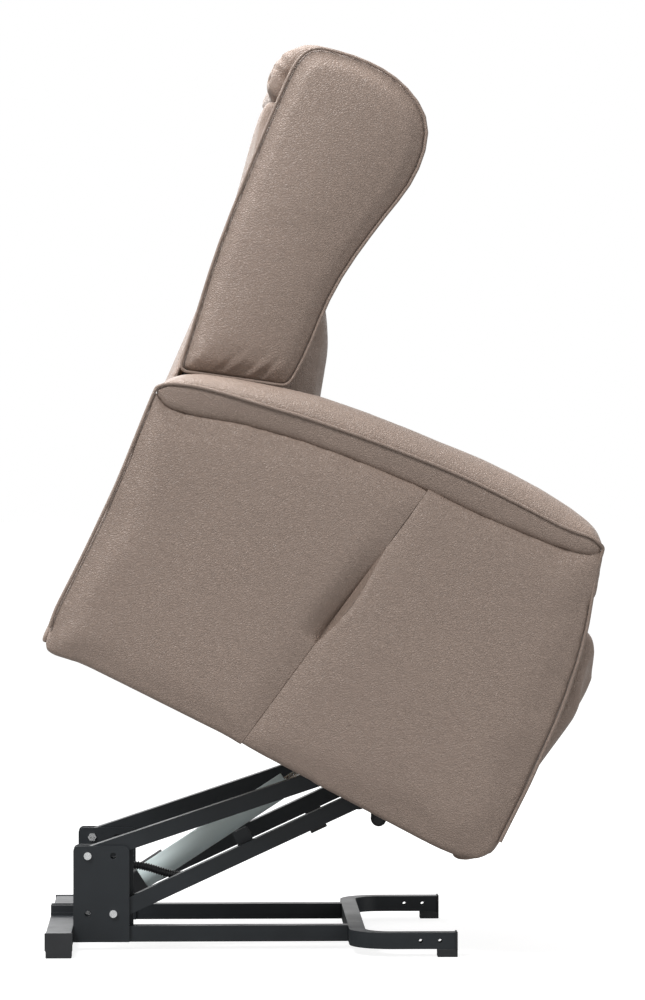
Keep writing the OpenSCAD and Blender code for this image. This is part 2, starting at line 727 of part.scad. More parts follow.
module carriage_outline() difference() {
    union() {
        polygon([[-link_end_r, 0], [link_end_r, 0], [buffer.x + buffer_lobe_r, 0],
            [web_front_x - buffer.x, web_low_z], [web_front_x, cross_front_z - tube/2],
            [web_front_x, web_top_z], [cross_rear_x, web_top_z], [back_hinge_x + hinge_ear_r, back_hinge_z],
            [back_hinge_x, back_hinge_z], [web_rear_x, web_top_z], [web_rear_x, cross_low_z],
            [cross_rear_x - tube/2, web_low_z], [-3*upper_pivot_back, web_low_z],
            [-upper_pivot_back - upper_lobe_r, upper_pivot_rise]]);
        circle(link_end_r);
        translate([-upper_pivot_back, upper_pivot_rise]) circle(upper_lobe_r);
        translate([buffer.x, buffer.y/2]) circle(buffer_lobe_r + buffer_r/2);
        translate([back_hinge_x, back_hinge_z]) circle(hinge_ear_r);
    }
    circle(bolt_r + fit_gap);
    translate(buffer) circle(bolt_r + fit_gap);
    translate([back_hinge_x, back_hinge_z]) circle(bolt_r + fit_gap);
    translate([-upper_pivot_back, upper_pivot_rise]) circle(bolt_r + pivot_slack);
    for (x = lightening_x) translate([x, lightening_z]) circle(lightening_r);
}

module carriage_side_right() color(steel) chair_frame() {
    upright(-side_in) linear_extrude(plate_t) carriage_outline();
    translate([cross_rear_x, -side_in - flange_w, web_top_z])
        cube([web_front_x - cross_rear_x, flange_w, flange_t]);
}

module carriage_side_left() left() carriage_side_right();

module cross_bar(x, z) translate([x, -side_in, z]) rotate([0, 0, 90]) square_tube(2*side_in);

module carriage_front_tube() color(steel) chair_frame() cross_bar(cross_front_x, cross_front_z);

module carriage_mid_tube() color(steel) chair_frame() {
    cross_bar(cross_mid_x, cross_low_z);
    translate([0, back_ram_y, 0]) both_sides() upright(-ram_ear_in) linear_extrude(ram_ear_t) difference() {
        translate([cross_mid_x - ram_ear_r, cross_low_z + tube/2])
            square([2*ram_ear_r, back_lug_rise - tube/2]);
        translate(back_ram_rear) circle(ram_pin_r + seat_gap);
    }
    translate([0, back_ram_y, 0]) both_sides() translate([back_ram_rear.x, 0, back_ram_rear.y])
        round_tube(ram_ear_r, -ram_ear_out, -ram_ear_in, ram_ear_r - ram_pin_r - seat_gap);
}

module carriage_rear_tube() color(steel) chair_frame() cross_bar(cross_rear_x, cross_low_z);

module carriage_pivot_bolts() color(silver) chair_frame() {
    both_sides() {
        bolt(bolt_r, -side_out, -link_in);
        translate([back_hinge_x, 0, back_hinge_z]) bolt(bolt_r, -side_out, -post_in);
        translate([buffer.x, 0, buffer.y]) bolt(bolt_r, -side_out - run_gap - buffer_len, -side_in);
    }
    translate([back_ram_rear.x, back_ram_y, back_ram_rear.y]) bolt(ram_pin_r, -ram_ear_out, ram_pin_end);
}

module frame_buffers() color(rubber) chair_frame() both_sides() translate([buffer.x, 0, buffer.y])
    difference() {
        cross_cylinder(buffer_r, -side_out - run_gap - buffer_len, -side_out - seat_gap);
        cross_cylinder(bolt_r + fit_gap, -side_out - 2*buffer_len, -side_out);
    }

module control_box() color(plastic) chair_frame()
    translate([box_x, side_in - seat_gap, box_z]) upright() linear_extrude(box_w)
        rounded_square([box_len, box_h], box_round);

// Seat

module seat_frame() color(timber) chair_frame() translate([0, 0, seat_z]) difference() {
    translate([seat_frame_rear_x, -seat_frame_half, 0])
        cube([seat_frame_front_x - seat_frame_rear_x, 2*seat_frame_half, seat_rail_h]);
    translate([seat_frame_rear_x + seat_rail_w, -seat_frame_half + seat_rail_w, -over])
        cube([seat_frame_front_x - seat_frame_rear_x - 2*seat_rail_w,
            2*(seat_frame_half - seat_rail_w), seat_rail_h + 2*over]);
}

strap_count = 5;
module seat_webbing() color(rubber) chair_frame() translate([0, 0, seat_z + seat_rail_h]) {
    len = seat_frame_front_x - seat_frame_rear_x;
    run = 2*(seat_frame_half - seat_rail_w);
    for (k = [0.5 : strap_count - 0.5])
        translate([seat_frame_rear_x, k*run/strap_count - run/2 - web_strap_w/2, 0])
            cube([len, web_strap_w, web_strap_t]);
    for (k = [1 : strap_count - 1])
        translate([seat_frame_rear_x + k*len/strap_count - web_strap_w/2, -seat_frame_half,
            web_strap_t]) cube([web_strap_w, 2*seat_frame_half, web_strap_t]);
}

seat_corner_r = 30;
seat_edge = 12;
seat_draw = 5;
module seat_cushion() color(leather) chair_frame() {
    half = arm_in - cushion_side_gap;
    padded(cushion_outline([seat_rear_x, -half], [seat_front_x, half], seat_corner_r, seat_draw),
        soft_profile(seat_edge, 0, seat_crown/seat_t, seat_draw, steps = 3),
        function (p) cushion_z, function (p) cushion_z + seat_t);
}

// Arms and body

function low_z(x) = arm_h*lookup((x - arm_rear_x)/arm_len, arm_low_shares);
function front_x(z) = arm_front_x
    - arm_lean*pow(max(0, (z - arm_front_z)/(arm_neck_z - arm_front_z)), 3);
function rear_x(z) = -body_rear_x - rear_flare*pow(max(0, z - waist_z)/(rear_neck_z - waist_z), 2);

hem_z = 3;
hem_roll = 12;
hem_in = 24;
hem_len = 60;
hem_tuck = 10;
toe_x = 131;
toe_r = 30;
toe_drop = 6;
toe_turn = 45;
elbow_z = 350;
front_zs = [waist_z, cushion_z, elbow_z, rear_neck_z, arm_neck_z];
front_top_share = 0.889;
front_top_z = front_top_share*arm_h;

// Corners under the arm pad, from one entry of its table to another, and up the arm's front
function pad_corners(first, last, s) = [for (i = [first : (last > first ? 1 : -1) : last])
    [arm_rear_x + arm_low_shares[i][0]*arm_len, arm_h*arm_low_shares[i][1] - seat_gap, s]];
function front_corners(inset, from, s) = [for (i = [from : len(front_zs) - 1])
    [front_x(front_zs[i]) - inset, front_zs[i], s]];

// The panels' front foot turns on an arc, and the front pad follows it
toe_corners = [for (k = [0 : 3]) let (a = 30*k)
    [arm_front_x - toe_turn*(1 - sin(a)), toe_turn*(1 - cos(a)), hem_roll/2]];
function toe_inset(z) = z > toe_turn ? 0 : toe_turn - sqrt(toe_turn*toe_turn - pow(toe_turn - z, 2));

panel_edge = 8;
panel_crown_share = 0.12;
seam_edge = 2;
module outer_padding(outline) padded(turned(outline), soft_profile(panel_edge, 0, panel_crown_share),
    function (p) 0, function (p) outer_pad_t/(1 + panel_crown_share));

module front_panel_shape() outer_padding(concat(
    [[seam_foot_x, hem_z, seam_edge], [toe_x, -toe_drop, toe_r]], toe_corners,
    front_corners(0, 0, hem_roll), pad_corners(nose_station, seam_station, seam_edge)));

module rear_panel_shape() outer_padding(concat([[seam_foot_x - seat_gap, hem_z, seam_edge],
    [seam_top_x - seat_gap, low_z(seam_top_x) - seat_gap, seam_edge]],
    pad_corners(seam_station - 1, 0, seam_edge),
    [[rear_x(rear_neck_z), rear_neck_z, hem_roll],
    [rear_x(cushion_z), cushion_z, toe_r], [rear_x(waist_z), waist_z, toe_r],
    [rear_x(hem_len), hem_len, hem_roll], [rear_x(0) + hem_tuck, -hem_roll, hem_in],
    [rear_x(0) + hem_len, hem_z - seam_edge, hem_in]]));

// Mouth of the side pocket: a spindle that opens the seam between the right side's two panels
slit_z = [191, 384];
slit_r = 22;
slit_back = 12;
slit_squash = 0.8;
module pocket_mouth() {
    seam_v = [seam_top_x - seam_foot_x, low_z(seam_top_x)];
    foot = [seam_foot_x - slit_back + slit_z[0]*seam_v.x/seam_v.y, slit_z[0]];
    v = (slit_z[1] - slit_z[0])/seam_v.y*seam_v;
    translate([foot.x, -arm_out + border_proud, foot.y]) rotate([0, atan2(v.x, v.y), 0])
        loft([for (k = [0 : 12]) let (s = k/12, r = slit_r*max(4*s*(1 - s), 0.02))
            [for (j = [0 : 15]) let (a = 360*j/16) [r*cos(a), slit_squash*r*sin(a), s*norm(v)]]]);
}

module side_panel_front_right() color(leather) chair_frame() difference() {
    upright(-board_out - seat_gap) front_panel_shape();
    pocket_mouth();
}

module side_panel_front_left() color(leather) left() chair_frame() upright(-board_out - seat_gap)
    front_panel_shape();

module side_panel_rear_right() color(leather) chair_frame() difference() {
    upright(-board_out - seat_gap) rear_panel_shape();
    pocket_mouth();
}

module side_panel_rear_left() color(leather) left() chair_frame() upright(-board_out - seat_gap)
    rear_panel_shape();

// Timber inside an arm: two boards joined by blocks, and cleats that sit on the seat frame
board_in = arm_in + pad_t + seat_gap;
block_w = board_out - board_in - 2*board_t;
block_len = 40;
cleat_len = 60;
cleat_x = [-300, 60];
board_foot_z = 20;
board_back_x = -500;

function board_corners() = concat(
    [[rear_x(0) + valance_t + seat_gap, board_foot_z], [front_x(0) - board_t, board_foot_z]],
    front_corners(board_t, 0, 0), pad_corners(neck_station, rear_dip_station, 0),
    [[rear_x(rear_neck_z) + 2*board_t, rear_neck_z - 2*board_t],
    [rear_x(waist_z) + valance_t + seat_gap, waist_z]]);

module board_outline() polygon([for (p = board_corners()) [p.x, p.y]]);

module arm_frame_right() color(timber) chair_frame() {
    upright(-board_in) linear_extrude(board_t) board_outline();
    upright(-board_out + board_t) linear_extrude(board_t) board_outline();
    for (p = [[seam_top_x, low_z(seam_top_x) - 2*block_len], [board_back_x, board_foot_z],
        [toe_x, board_foot_z], [toe_x - block_len, waist_z + block_len],
        [board_back_x, rear_neck_z - 3*block_len], [toe_x - block_len, rear_neck_z]])
        translate([p.x, -board_in - board_t - block_w, p.y]) cube([block_len, block_w, block_len]);
    for (x = cleat_x) translate([x, -board_in, seat_z])
        cube([cleat_len, board_in - seat_frame_half, seat_rail_h - 2*seat_gap]);
}

module arm_frame_left() left() arm_frame_right();

function arm_ring(u) = let (mid = -(arm_in + arm_out)/2, h = arm_w/2*lookup(u, arm_width_shares),
    x = arm_rear_x + u*arm_len, low = arm_h*lookup(u, arm_low_shares),
    pipe = arm_h*lookup(u, arm_pipe_shares), top = arm_h*lookup(u, arm_top_shares),
    side = low + 0.3*(pipe - low))
    concat([[x, mid - 0.9*h, low], [x, mid + 0.9*h, low], [x, mid + h, side], [x, mid + h, pipe]],
        [for (k = [1 : 7]) let (a = 22.5*k)
            [x, mid + 0.97*h*cos(a), pipe + (top - pipe)*pow(sin(a), 0.7)]],
        [[x, mid - h, pipe], [x, mid - h, side]]);

module arm_pad_right() color(leather) chair_frame() loft([for (u = arm_station_shares) arm_ring(u)]);

module arm_pad_left() left() arm_pad_right();

inner_foot_z = cushion_z + seat_gap - seam_edge;
module arm_inner_right() color(leather) chair_frame() upright(-arm_in - seam_edge)
    padded(turned(concat(
        [[arm_rear_x + arm_low_shares[inner_rear_station][0]*arm_len, inner_foot_z, seam_edge],
        [front_x(inner_foot_z) - board_t, inner_foot_z, seam_edge]],
        front_corners(board_t, 2, seam_edge),
        pad_corners(neck_station, inner_rear_station, seam_edge))),
        soft_profile(seam_edge, 0.1, 0, 0, 0.3), function (p) 0, function (p) pad_t - seam_edge);

module arm_inner_left() left() arm_inner_right();

// A padded strip that rises along Z: its face follows one function of height, its back another
module strip(zs, y0, y1, back, face, e) {
    out = face(zs[0]) > back(zs[0]) ? 1 : -1;
    last = len(zs) - 1;
    rings = [for (i = [0 : last]) let (z = zs[i], d = i == 0 || i == last ? e : 0, f = face(z) - out*d)
        [[back(z), y0 + d], [f - out*e, y0 + d], [f, y0 + d + e], [f + out*e/2, (y0 + y1)/2],
        [f, y1 - d - e], [f - out*e, y1 - d], [back(z), y1 - d]]];
    loft([for (i = [0 : last]) [for (k = [0 : 6]) let (p = rings[i][out > 0 ? k : 6 - k])
        [p.x, p.y, zs[i]]]]);
}

front_strip_zs = concat([board_foot_z, board_foot_z + seam_edge, 2*board_t, toe_turn],
    front_zs, [front_top_z - 2*seam_edge, front_top_z]);
module arm_front_right() color(leather) chair_frame()
    strip(front_strip_zs, -board_out + seat_gap, -arm_in - seam_edge,
        function (z) front_x(z) - board_t + seat_gap,
        function (z) front_x(z) - toe_inset(z) - seam_edge/2, seam_edge);

module arm_front_left() left() arm_front_right();

module rear_pad(y0, y1, top) strip(concat([panel_foot_z, panel_foot_z + seam_edge],
    [for (z = [waist_z, cushion_z, elbow_z, rear_neck_z]) if (z < top - 2*seam_edge) z],
    [top - seam_edge, top]), y0, y1,
    function (z) rear_x(z) + valance_t, function (z) rear_x(z) + seam_edge/2, seam_edge);

module rear_valance() color(leather) chair_frame() {
    rear_pad(-arm_in + seat_gap, arm_in - seat_gap, valance_top_z);
    both_sides() rear_pad(-board_out + seat_gap, -arm_in,
        arm_h*arm_low_shares[rear_dip_station][1] - seam_edge);
}

// Back

module back_part() chair_frame() translate([back_hinge_x, 0, back_hinge_z])
    rotate([0, -back_lean, 0]) children();

function back_plane(z) = back_hinge_x - (z - back_hinge_z)*tan(back_lean);
post_out = side_in - run_gap;
post_in = post_out - tube;
post_len = (back_top_z - back_hinge_z)/cos(back_lean) - 4*seat_gap;
back_rail_at = post_len - 2*tube;
back_board_t = 12;
slot_h = 60;
slot_w = 80;

module back_frame() color(steel) {
    back_part() {
        both_sides() difference() {
            union() {
                translate([0, -post_out + tube/2, 0]) rotate([0, -90, 0])
                    square_tube(post_len, tube, post_d);
                cross_cylinder(link_end_r, -post_out, -post_in);
            }
            cross_cylinder(bolt_r + fit_gap, -post_out - over, -post_in + over);
        }
        round_tube(cross_tube_r, -post_in, post_in);
        translate([-tube/2 + (tube - post_d)/2, -post_in, back_rail_at])
            cube([post_d, 2*post_in, tube]);
    }
    chair_frame() translate([back_hinge_x, back_ram_y, back_hinge_z]) both_sides()
        upright(-ram_ear_in) linear_extrude(ram_ear_t) difference() {
            strap([0, 0], lever, ram_ear_r);
            circle(cross_tube_r - tube_wall);
            translate(lever) circle(ram_pin_r + fit_gap);
        }
    chair_frame() translate([back_ram_front.x, back_ram_y, back_ram_front.y])
        bolt(ram_pin_r, -ram_ear_out, ram_pin_end);
}

module back_board() color(timber) back_part() {
    half = wing_in - seat_gap;
    translate([post_d/2 + seat_gap, 0, 0]) facing() linear_extrude(back_board_t) difference() {
        translate([-half, hem_roll]) rounded_square([2*half, post_len - hem_roll], hem_roll);
        for (y = [-1 : 1], z = [1 : 4])
            translate([y*1.5*slot_w - slot_w/2, z*2*slot_h]) rounded_square([slot_w, slot_h], hem_roll);
    }
}

function board_face(z) = back_plane(z) + post_d/2 + back_board_t + 4*seat_gap;

// Front of the back cushion above its foot: shares of its height and of its fullness
back_split_z = 706;
lumbar_full = 205;
lumbar_shares = [[0, 0.76], [0.14, 0.82], [0.3, 0.86], [0.46, 0.9], [0.62, 0.88], [0.8, 0.75],
    [0.94, 0.63], [1, 0.5]];
neck_r = 26;
back_edge = 16;
back_draw = 3;
back_crown_share = 0.1;
module back_cushion() color(leather) chair_frame() facing() {
    low_half = arm_in - cushion_side_gap + seam_edge;
    high_half = wing_in - 2*seat_gap;
    padded(turned([[-low_half, back_bottom_z, neck_r], [0, back_bottom_z, neck_r],
        [low_half, back_bottom_z, neck_r], [low_half, wing_z - neck_r, hem_roll],
        [high_half, wing_z, hem_roll], [high_half, back_split_z, neck_r],
        [0, back_split_z, neck_r], [-high_half, back_split_z, neck_r], [-high_half, wing_z, hem_roll],
        [-low_half, wing_z - neck_r, hem_roll]]),
        soft_profile(back_edge, 0, back_crown_share, back_draw, 0.3), function (p) board_face(p.y),
        function (p) board_face(p.y) + lumbar_full*lookup(
            (p.y - back_bottom_z)/(back_split_z - back_bottom_z), lumbar_shares)/(1 + back_crown_share));
}

// Side outline of the headrest: shares of its depth and height, with the setback of each corner
head_shares = [[0.5, 0, 0.06], [0.93, 0.02, 0.14], [1, 0.3, 0.2], [0.97, 0.6, 0.2],
    [0.8, 0.92, 0.2], [0.5, 1, 0.15], [0.27, 0.994, 0.08], [0.1, 0.957, 0.12], [0, 0.82, 0.08],
    [0.02, 0.66, 0.06], [0.1, 0.64, 0.04], [0.45, 0.638, 0.02]];
head_x = -642;
head_d = 230;
head_z = 708;
head_h = 318;
head_edge = 14;
head_draw = 4;
module headrest_cushion() color(leather) chair_frame() upright() {
    half = wing_in - 2*seat_gap;
    padded(turned([for (s = head_shares) [head_x + s[0]*head_d, head_z + s[1]*head_h, s[2]*head_d]], 3),
        soft_profile(head_edge, 0, 0, head_draw, 0.05), function (p) -half, function (p) half,
        [head_x + 0.54*head_d, head_z + 0.78*head_h]);
}

// Side outline of a wing: shares of its depth and height, with the setback of each corner
wing_shares = [[0.228, 0, 0.05], [0.892, 0.075, 0.06], [0.905, 0.18, 0.2], [0.859, 0.382, 0.25],
    [0.934, 0.602, 0.3], [1.02, 0.767, 0.22], [0.946, 0.925, 0.22], [0.66, 0.992, 0.2],
    [0.36, 0.997, 0.15], [0.05, 0.966, 0.1], [-0.008, 0.905, 0.12], [0.017, 0.694, 0.3],
    [0.095, 0.308, 0.3]];
wing_edge = 9;
wing_crown_share = 0.16;
module wing_right() color(leather) chair_frame() upright(-wing_in)
    padded(turned([for (s = wing_shares) [wing_x + s[0]*wing_d, wing_z + s[1]*wing_h, s[2]*wing_d]], 3),
        soft_profile(wing_edge, 0, wing_crown_share, 0, 0.14, 3), function (p) 0,
        function (p) wing_t/(1 + wing_crown_share));

module wing_left() left() wing_right();

// Outer skin of the back: its rear face bows away from the posts towards the top
skin_x = -573;
skin_bow = 50;
skin_turn_z = 520;
skin_rise = 0.035;
skin_foot_z = 318;
skin_edge = 6;
skin_top_z = back_top_z + skin_edge - seam_edge/2;
function skin_face(z) = z > skin_turn_z
    ? skin_x - skin_bow*pow((z - skin_turn_z)/(back_top_z - skin_turn_z), 1.8)
    : skin_x + skin_rise*(skin_turn_z - z);
module outside_back() color(leather) chair_frame() facing() {
    low_half = arm_in - cushion_side_gap;
    half = wing_in - 2*seat_gap;
    padded(turned([[-low_half, skin_foot_z, hem_roll], [low_half, skin_foot_z, hem_roll],
        [low_half, wing_z - neck_r, hem_roll], [half, wing_z, hem_roll], [half, back_split_z, neck_r],
        [half, skin_top_z, hem_roll], [-half, skin_top_z, hem_roll], [-half, back_split_z, neck_r],
        [-half, wing_z, hem_roll], [-low_half, wing_z - neck_r, hem_roll]]),
        soft_profile(skin_edge, 0, 0, 0, 0.3), function (p) skin_face(p.y),
        function (p) back_plane(p.y) - post_d/2 - 2*seat_gap);
}

// Legrest

ear_t = bracket_t;
hinge_eye_r = 1.8*bolt_r;
ear_gap = 3;
ear_out = bracket_out - bracket_t - ear_gap;
ear_housing = 1;
legrest_board_foot_z = 6;
hinge_head_t = 1.5;
hinge_pin_y = [-bracket_out - hinge_head_t, -ear_out + ear_t];

module legrest_brackets() color(steel) chair_frame() both_sides() {
    translate([seat_frame_front_x, -bracket_out, seat_z + 2*seat_gap])
        cube([bracket_t, seat_rail_w, seat_rail_h - 4*seat_gap]);
    upright(-bracket_out + bracket_t) linear_extrude(bracket_t) difference() {
        union() {
            translate([seat_frame_front_x, seat_z + 2*seat_gap])
                square([2*seat_rail_h/3, seat_rail_h - 4*seat_gap]);
            strap([seat_frame_front_x + seat_rail_h/3, cushion_z - seat_rail_h/2], legrest_hinge,
                hinge_eye_r);
        }
        translate(legrest_hinge) circle(bolt_r + fit_gap);
    }
    translate([legrest_hinge.x, 0, legrest_hinge.y])
        cross_cylinder(bolt_r, hinge_pin_y[0], hinge_pin_y[1]);
}

module legrest_board() chair_frame() {
    color(timber) translate([legrest_back_x, 0, 0]) facing() linear_extrude(board_t)
        translate([-legrest_half - ear_housing, legrest_board_foot_z])
            rounded_square([2*(legrest_half + ear_housing),
                legrest_hinge.y - legrest_board_foot_z], hem_roll);
    color(steel) both_sides() upright(-ear_out + ear_t) linear_extrude(ear_t) difference() {
        strap([legrest_back_x + 2.3*bolt_r, legrest_hinge.y - 2*seat_rail_h], legrest_hinge, hinge_eye_r);
        translate(legrest_hinge) circle(bolt_r + seat_gap);
    }
}

legrest_face_shares = [[0, 0.25], [0.036, 0.56], [0.055, 0.65], [0.16, 0.68], [0.3, 0.7],
    [0.52, 0.84], [0.75, 1], [0.86, 0.95], [0.94, 0.77], [1, 0.42]];
legrest_edge = 9;
legrest_draw = 2;
legrest_crown_share = 0.05;
module legrest_pad() color(leather) chair_frame() facing() {
    half = legrest_half - 2*run_gap;
    top = legrest_foot_z + legrest_h;
    padded(turned([[-half, legrest_foot_z, hem_roll], [half, legrest_foot_z, hem_roll],
        [half, waist_z, toe_r], [half, cushion_z, toe_r], [half, top, hem_roll],
        [-half, top, hem_roll], [-half, cushion_z, toe_r], [-half, waist_z, toe_r]]),
        soft_profile(legrest_edge, 0, legrest_crown_share, legrest_draw, 0.24),
        function (p) legrest_back_x + board_t + seat_gap,
        function (p) legrest_back_x + board_t + legrest_t*lookup(
            (p.y - legrest_foot_z)/legrest_h, legrest_face_shares)/(1 + legrest_crown_share));
}

rear_cross_tube();
end_caps();
side_rail_right();
side_rail_left();
front_fork();
upright_right();
upright_left();
actuator_saddle();
base_pivot_bolts();
conduit_gland();
lower_link_right();
lower_link_left();
lower_cross_tube();
link_bumpers();
lower_link_bushes();
cable_conduit();
upper_link_right();
upper_link_left();
upper_cross_tube();
upper_link_bushes();
upper_pivot_pins();
lift_motor_housing();
lift_actuator_tube();
lift_actuator_rod();
carriage_side_right();
carriage_side_left();
carriage_front_tube();
carriage_mid_tube();
carriage_rear_tube();
carriage_pivot_bolts();
frame_buffers();
control_box();
seat_frame();
seat_webbing();
seat_cushion();
arm_frame_right();
arm_frame_left();
side_panel_rear_right();
side_panel_rear_left();
side_panel_front_right();
side_panel_front_left();
arm_pad_right();
arm_pad_left();
arm_inner_right();
arm_inner_left();
arm_front_right();
arm_front_left();
rear_valance();
legrest_brackets();
back_frame();
back_board();
back_cushion();
headrest_cushion();
wing_right();
wing_left();
outside_back();
back_actuator_body();
back_actuator_rod();
legrest_board();
legrest_pad();
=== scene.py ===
"""Lift recliner in pebbled taupe leather, tipped forward on its charcoal four-bar stand."""
import json
from math import pi, radians

import bmesh
import bpy
import numpy as np
from mathutils import Matrix, Vector
from mathutils.kdtree import KDTree


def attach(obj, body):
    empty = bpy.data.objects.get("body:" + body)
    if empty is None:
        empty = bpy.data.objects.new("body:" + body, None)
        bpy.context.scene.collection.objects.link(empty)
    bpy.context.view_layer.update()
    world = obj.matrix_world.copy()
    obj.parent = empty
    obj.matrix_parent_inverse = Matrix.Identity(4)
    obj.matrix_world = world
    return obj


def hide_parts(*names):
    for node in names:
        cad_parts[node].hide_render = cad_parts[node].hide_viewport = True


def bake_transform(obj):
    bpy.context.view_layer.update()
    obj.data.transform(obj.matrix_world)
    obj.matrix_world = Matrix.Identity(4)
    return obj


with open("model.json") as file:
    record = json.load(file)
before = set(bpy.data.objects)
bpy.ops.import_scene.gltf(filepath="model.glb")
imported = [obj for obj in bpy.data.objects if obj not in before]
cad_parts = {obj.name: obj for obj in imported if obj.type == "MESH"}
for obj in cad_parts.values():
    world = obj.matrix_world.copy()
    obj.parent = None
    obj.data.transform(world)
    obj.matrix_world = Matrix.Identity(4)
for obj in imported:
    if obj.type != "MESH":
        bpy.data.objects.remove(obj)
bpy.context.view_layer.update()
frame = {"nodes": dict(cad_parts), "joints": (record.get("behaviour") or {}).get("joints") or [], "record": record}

scene = bpy.context.scene
nodes = frame["nodes"]
joints = {joint["name"]: joint for joint in frame["joints"]}

# The chair body is drawn tipped forward on its main pivot. Pads and seams are laid out in the
# body's own level frame: the pivot at the origin, x forward, y to the left, z up, in metres.
TIP = radians(27)
TIPPED = Matrix.Translation(Vector(joints["chair_tilt"]["pos_m"])) @ Matrix.Rotation(TIP, 4, "Y")
LEVEL = TIPPED.inverted()


# Camera and conduit line

def set_camera():
    lens = bpy.data.cameras.new("camera")
    lens.sensor_fit = "VERTICAL"
    lens.sensor_height = 36.0
    lens.lens = 162.5
    lens.clip_end = 60.0
    camera = bpy.data.objects.new("camera", lens)
    camera.location = (-0.197234, -7.216, 0.8235)
    camera.rotation_euler = (radians(90 - 0.983), 0.0, radians(-1.64))
    scene.collection.objects.link(camera)
    scene.camera = camera


set_camera()

# Cable conduit from the gland on the base to the clip on the right lower link. Its points are in
# millimetres from the stand's rear edge.
CONDUIT_R = 0.0066
BASE_MID_X = 0.426234
CONDUIT_POINTS = [Vector((x/1000 - BASE_MID_X, y/1000, z/1000)) for x, y, z in (
    (82, -130, 122), (96, -130, 122), (112, -129, 125.5), (128, -128, 128.5), (144, -127, 127.5),
    (160, -127, 124), (176, -128, 119), (192, -130, 114.5), (208, -132, 113), (224, -134, 115.5),
    (240, -135, 121), (256, -136, 127), (272, -136, 134), (288, -136, 141))]


def conduit_point(s):
    """A point on the smooth curve through the conduit's points."""
    last = len(CONDUIT_POINTS) - 1
    i = min(int(s), last - 1)
    t = s - i
    p, q = CONDUIT_POINTS[i], CONDUIT_POINTS[i + 1]
    a = CONDUIT_POINTS[i - 1] if i else 2*p - q
    b = CONDUIT_POINTS[i + 2] if i < last - 1 else 2*q - p
    return 0.5*(2*p + (q - a)*t + (2*a - 5*p + 4*q - b)*t*t + (3*p - a - 3*q + b)*t**3)


# Finishes

# The places of a mix node's two inputs and its result, for vectors and for colours
MIX_SOCKETS = {"VECTOR": (4, 5, 1), "RGBA": (6, 7, 2)}


class Finish:
    """A material, with short ways to add and join its nodes."""

    def __init__(self, name, colour, roughness, metallic=0.0):
        self.material = bpy.data.materials.new(name)
        self.material.use_nodes = True
        self.tree = self.material.node_tree
        self.shader = self.tree.nodes["Principled BSDF"]
        self.shader.inputs["Base Color"].default_value = (*colour, 1.0)
        self.shader.inputs["Roughness"].default_value = roughness
        self.shader.inputs["Metallic"].default_value = metallic
        self.place = self.add("ShaderNodeTexCoord").outputs["Object"]

    def add(self, kind, settings=None, **values):
        node = self.tree.nodes.new(kind)
        for key, value in (settings or {}).items():
            setattr(node, key, value)
        for key, value in values.items():
            socket = node.inputs[key.replace("_", " ")]
            if hasattr(value, "is_output"):
                self.tree.links.new(value, socket)
            else:
                socket.default_value = value
        return node

    def turned(self, scale, rotation=(0, 0, 0)):
        """Object coordinates, scaled and turned."""
        return self.add("ShaderNodeMapping", Vector=self.place, Scale=scale,
                        Rotation=rotation).outputs[0]

    def noise(self, scale, detail=2.0, roughness=0.5, distortion=0.0, at=None):
        return self.add("ShaderNodeTexNoise", Vector=at or self.place, Scale=scale, Detail=detail,
                        Roughness=roughness, Distortion=distortion).outputs["Fac"]

    def cells(self, scale, feature="F1", at=None):
        return self.add("ShaderNodeTexVoronoi", {"feature": feature}, Vector=at or self.place,
                        Scale=scale).outputs["Distance"]

    def mix(self, kind, factor, first, second, blend="MIX"):
        """Mixes two vectors or two colours."""
        node = self.add("ShaderNodeMix", {"data_type": kind, "blend_type": blend})
        first_in, second_in, result = MIX_SOCKETS[kind]
        node.inputs["Factor"].default_value = factor
        self.tree.links.new(first, node.inputs[first_in])
        self.tree.links.new(second, node.inputs[second_in])
        return node.outputs[result]

    def ramp(self, fac, *stops):
        """A colour or value that follows fac: stops are (place, colour)."""
        node = self.add("ShaderNodeValToRGB", Fac=fac)
        ramp = node.color_ramp
        while len(ramp.elements) < len(stops):
            ramp.elements.new(0.5)
        for element, (place, colour) in zip(ramp.elements, stops):
            element.position = place
            element.color = (*colour, 1.0) if hasattr(colour, "__len__") else (colour,)*3 + (1.0,)
        return node.outputs["Color"]

    def spread(self, fac, low, high, to_low, to_high):
        """Maps fac from low..high to to_low..to_high."""
        return self.add("ShaderNodeMapRange", Value=fac, From_Min=low, From_Max=high,
                        To_Min=to_low, To_Max=to_high).outputs[0]

    def use(self, **sockets):
        for key, value in sockets.items():
            self.tree.links.new(value, self.shader.inputs[key.replace("_", " ")])

    def bump(self, *layers):
        """Stacks (height, depth in metres, strength) layers into the shader's normal."""
        normal = None
        for height, depth, strength in layers:
            node = self.add("ShaderNodeBump", Height=height, Distance=depth, Strength=strength)
            if normal:
                self.tree.links.new(normal, node.inputs["Normal"])
            normal = node.outputs[0]
        self.tree.links.new(normal, self.shader.inputs["Normal"])


def joined(tree, kind, sources, **settings):
    """A node of the given kind fed by the sources in turn."""
    node = tree.nodes.new(kind)
    for key, value in settings.items():
        setattr(node, key, value)
    for socket, source in zip(node.inputs, sources):
        tree.links.new(source, socket)
    return node.outputs[0]


def shade(colour, k):
    return tuple(k*c for c in colour)


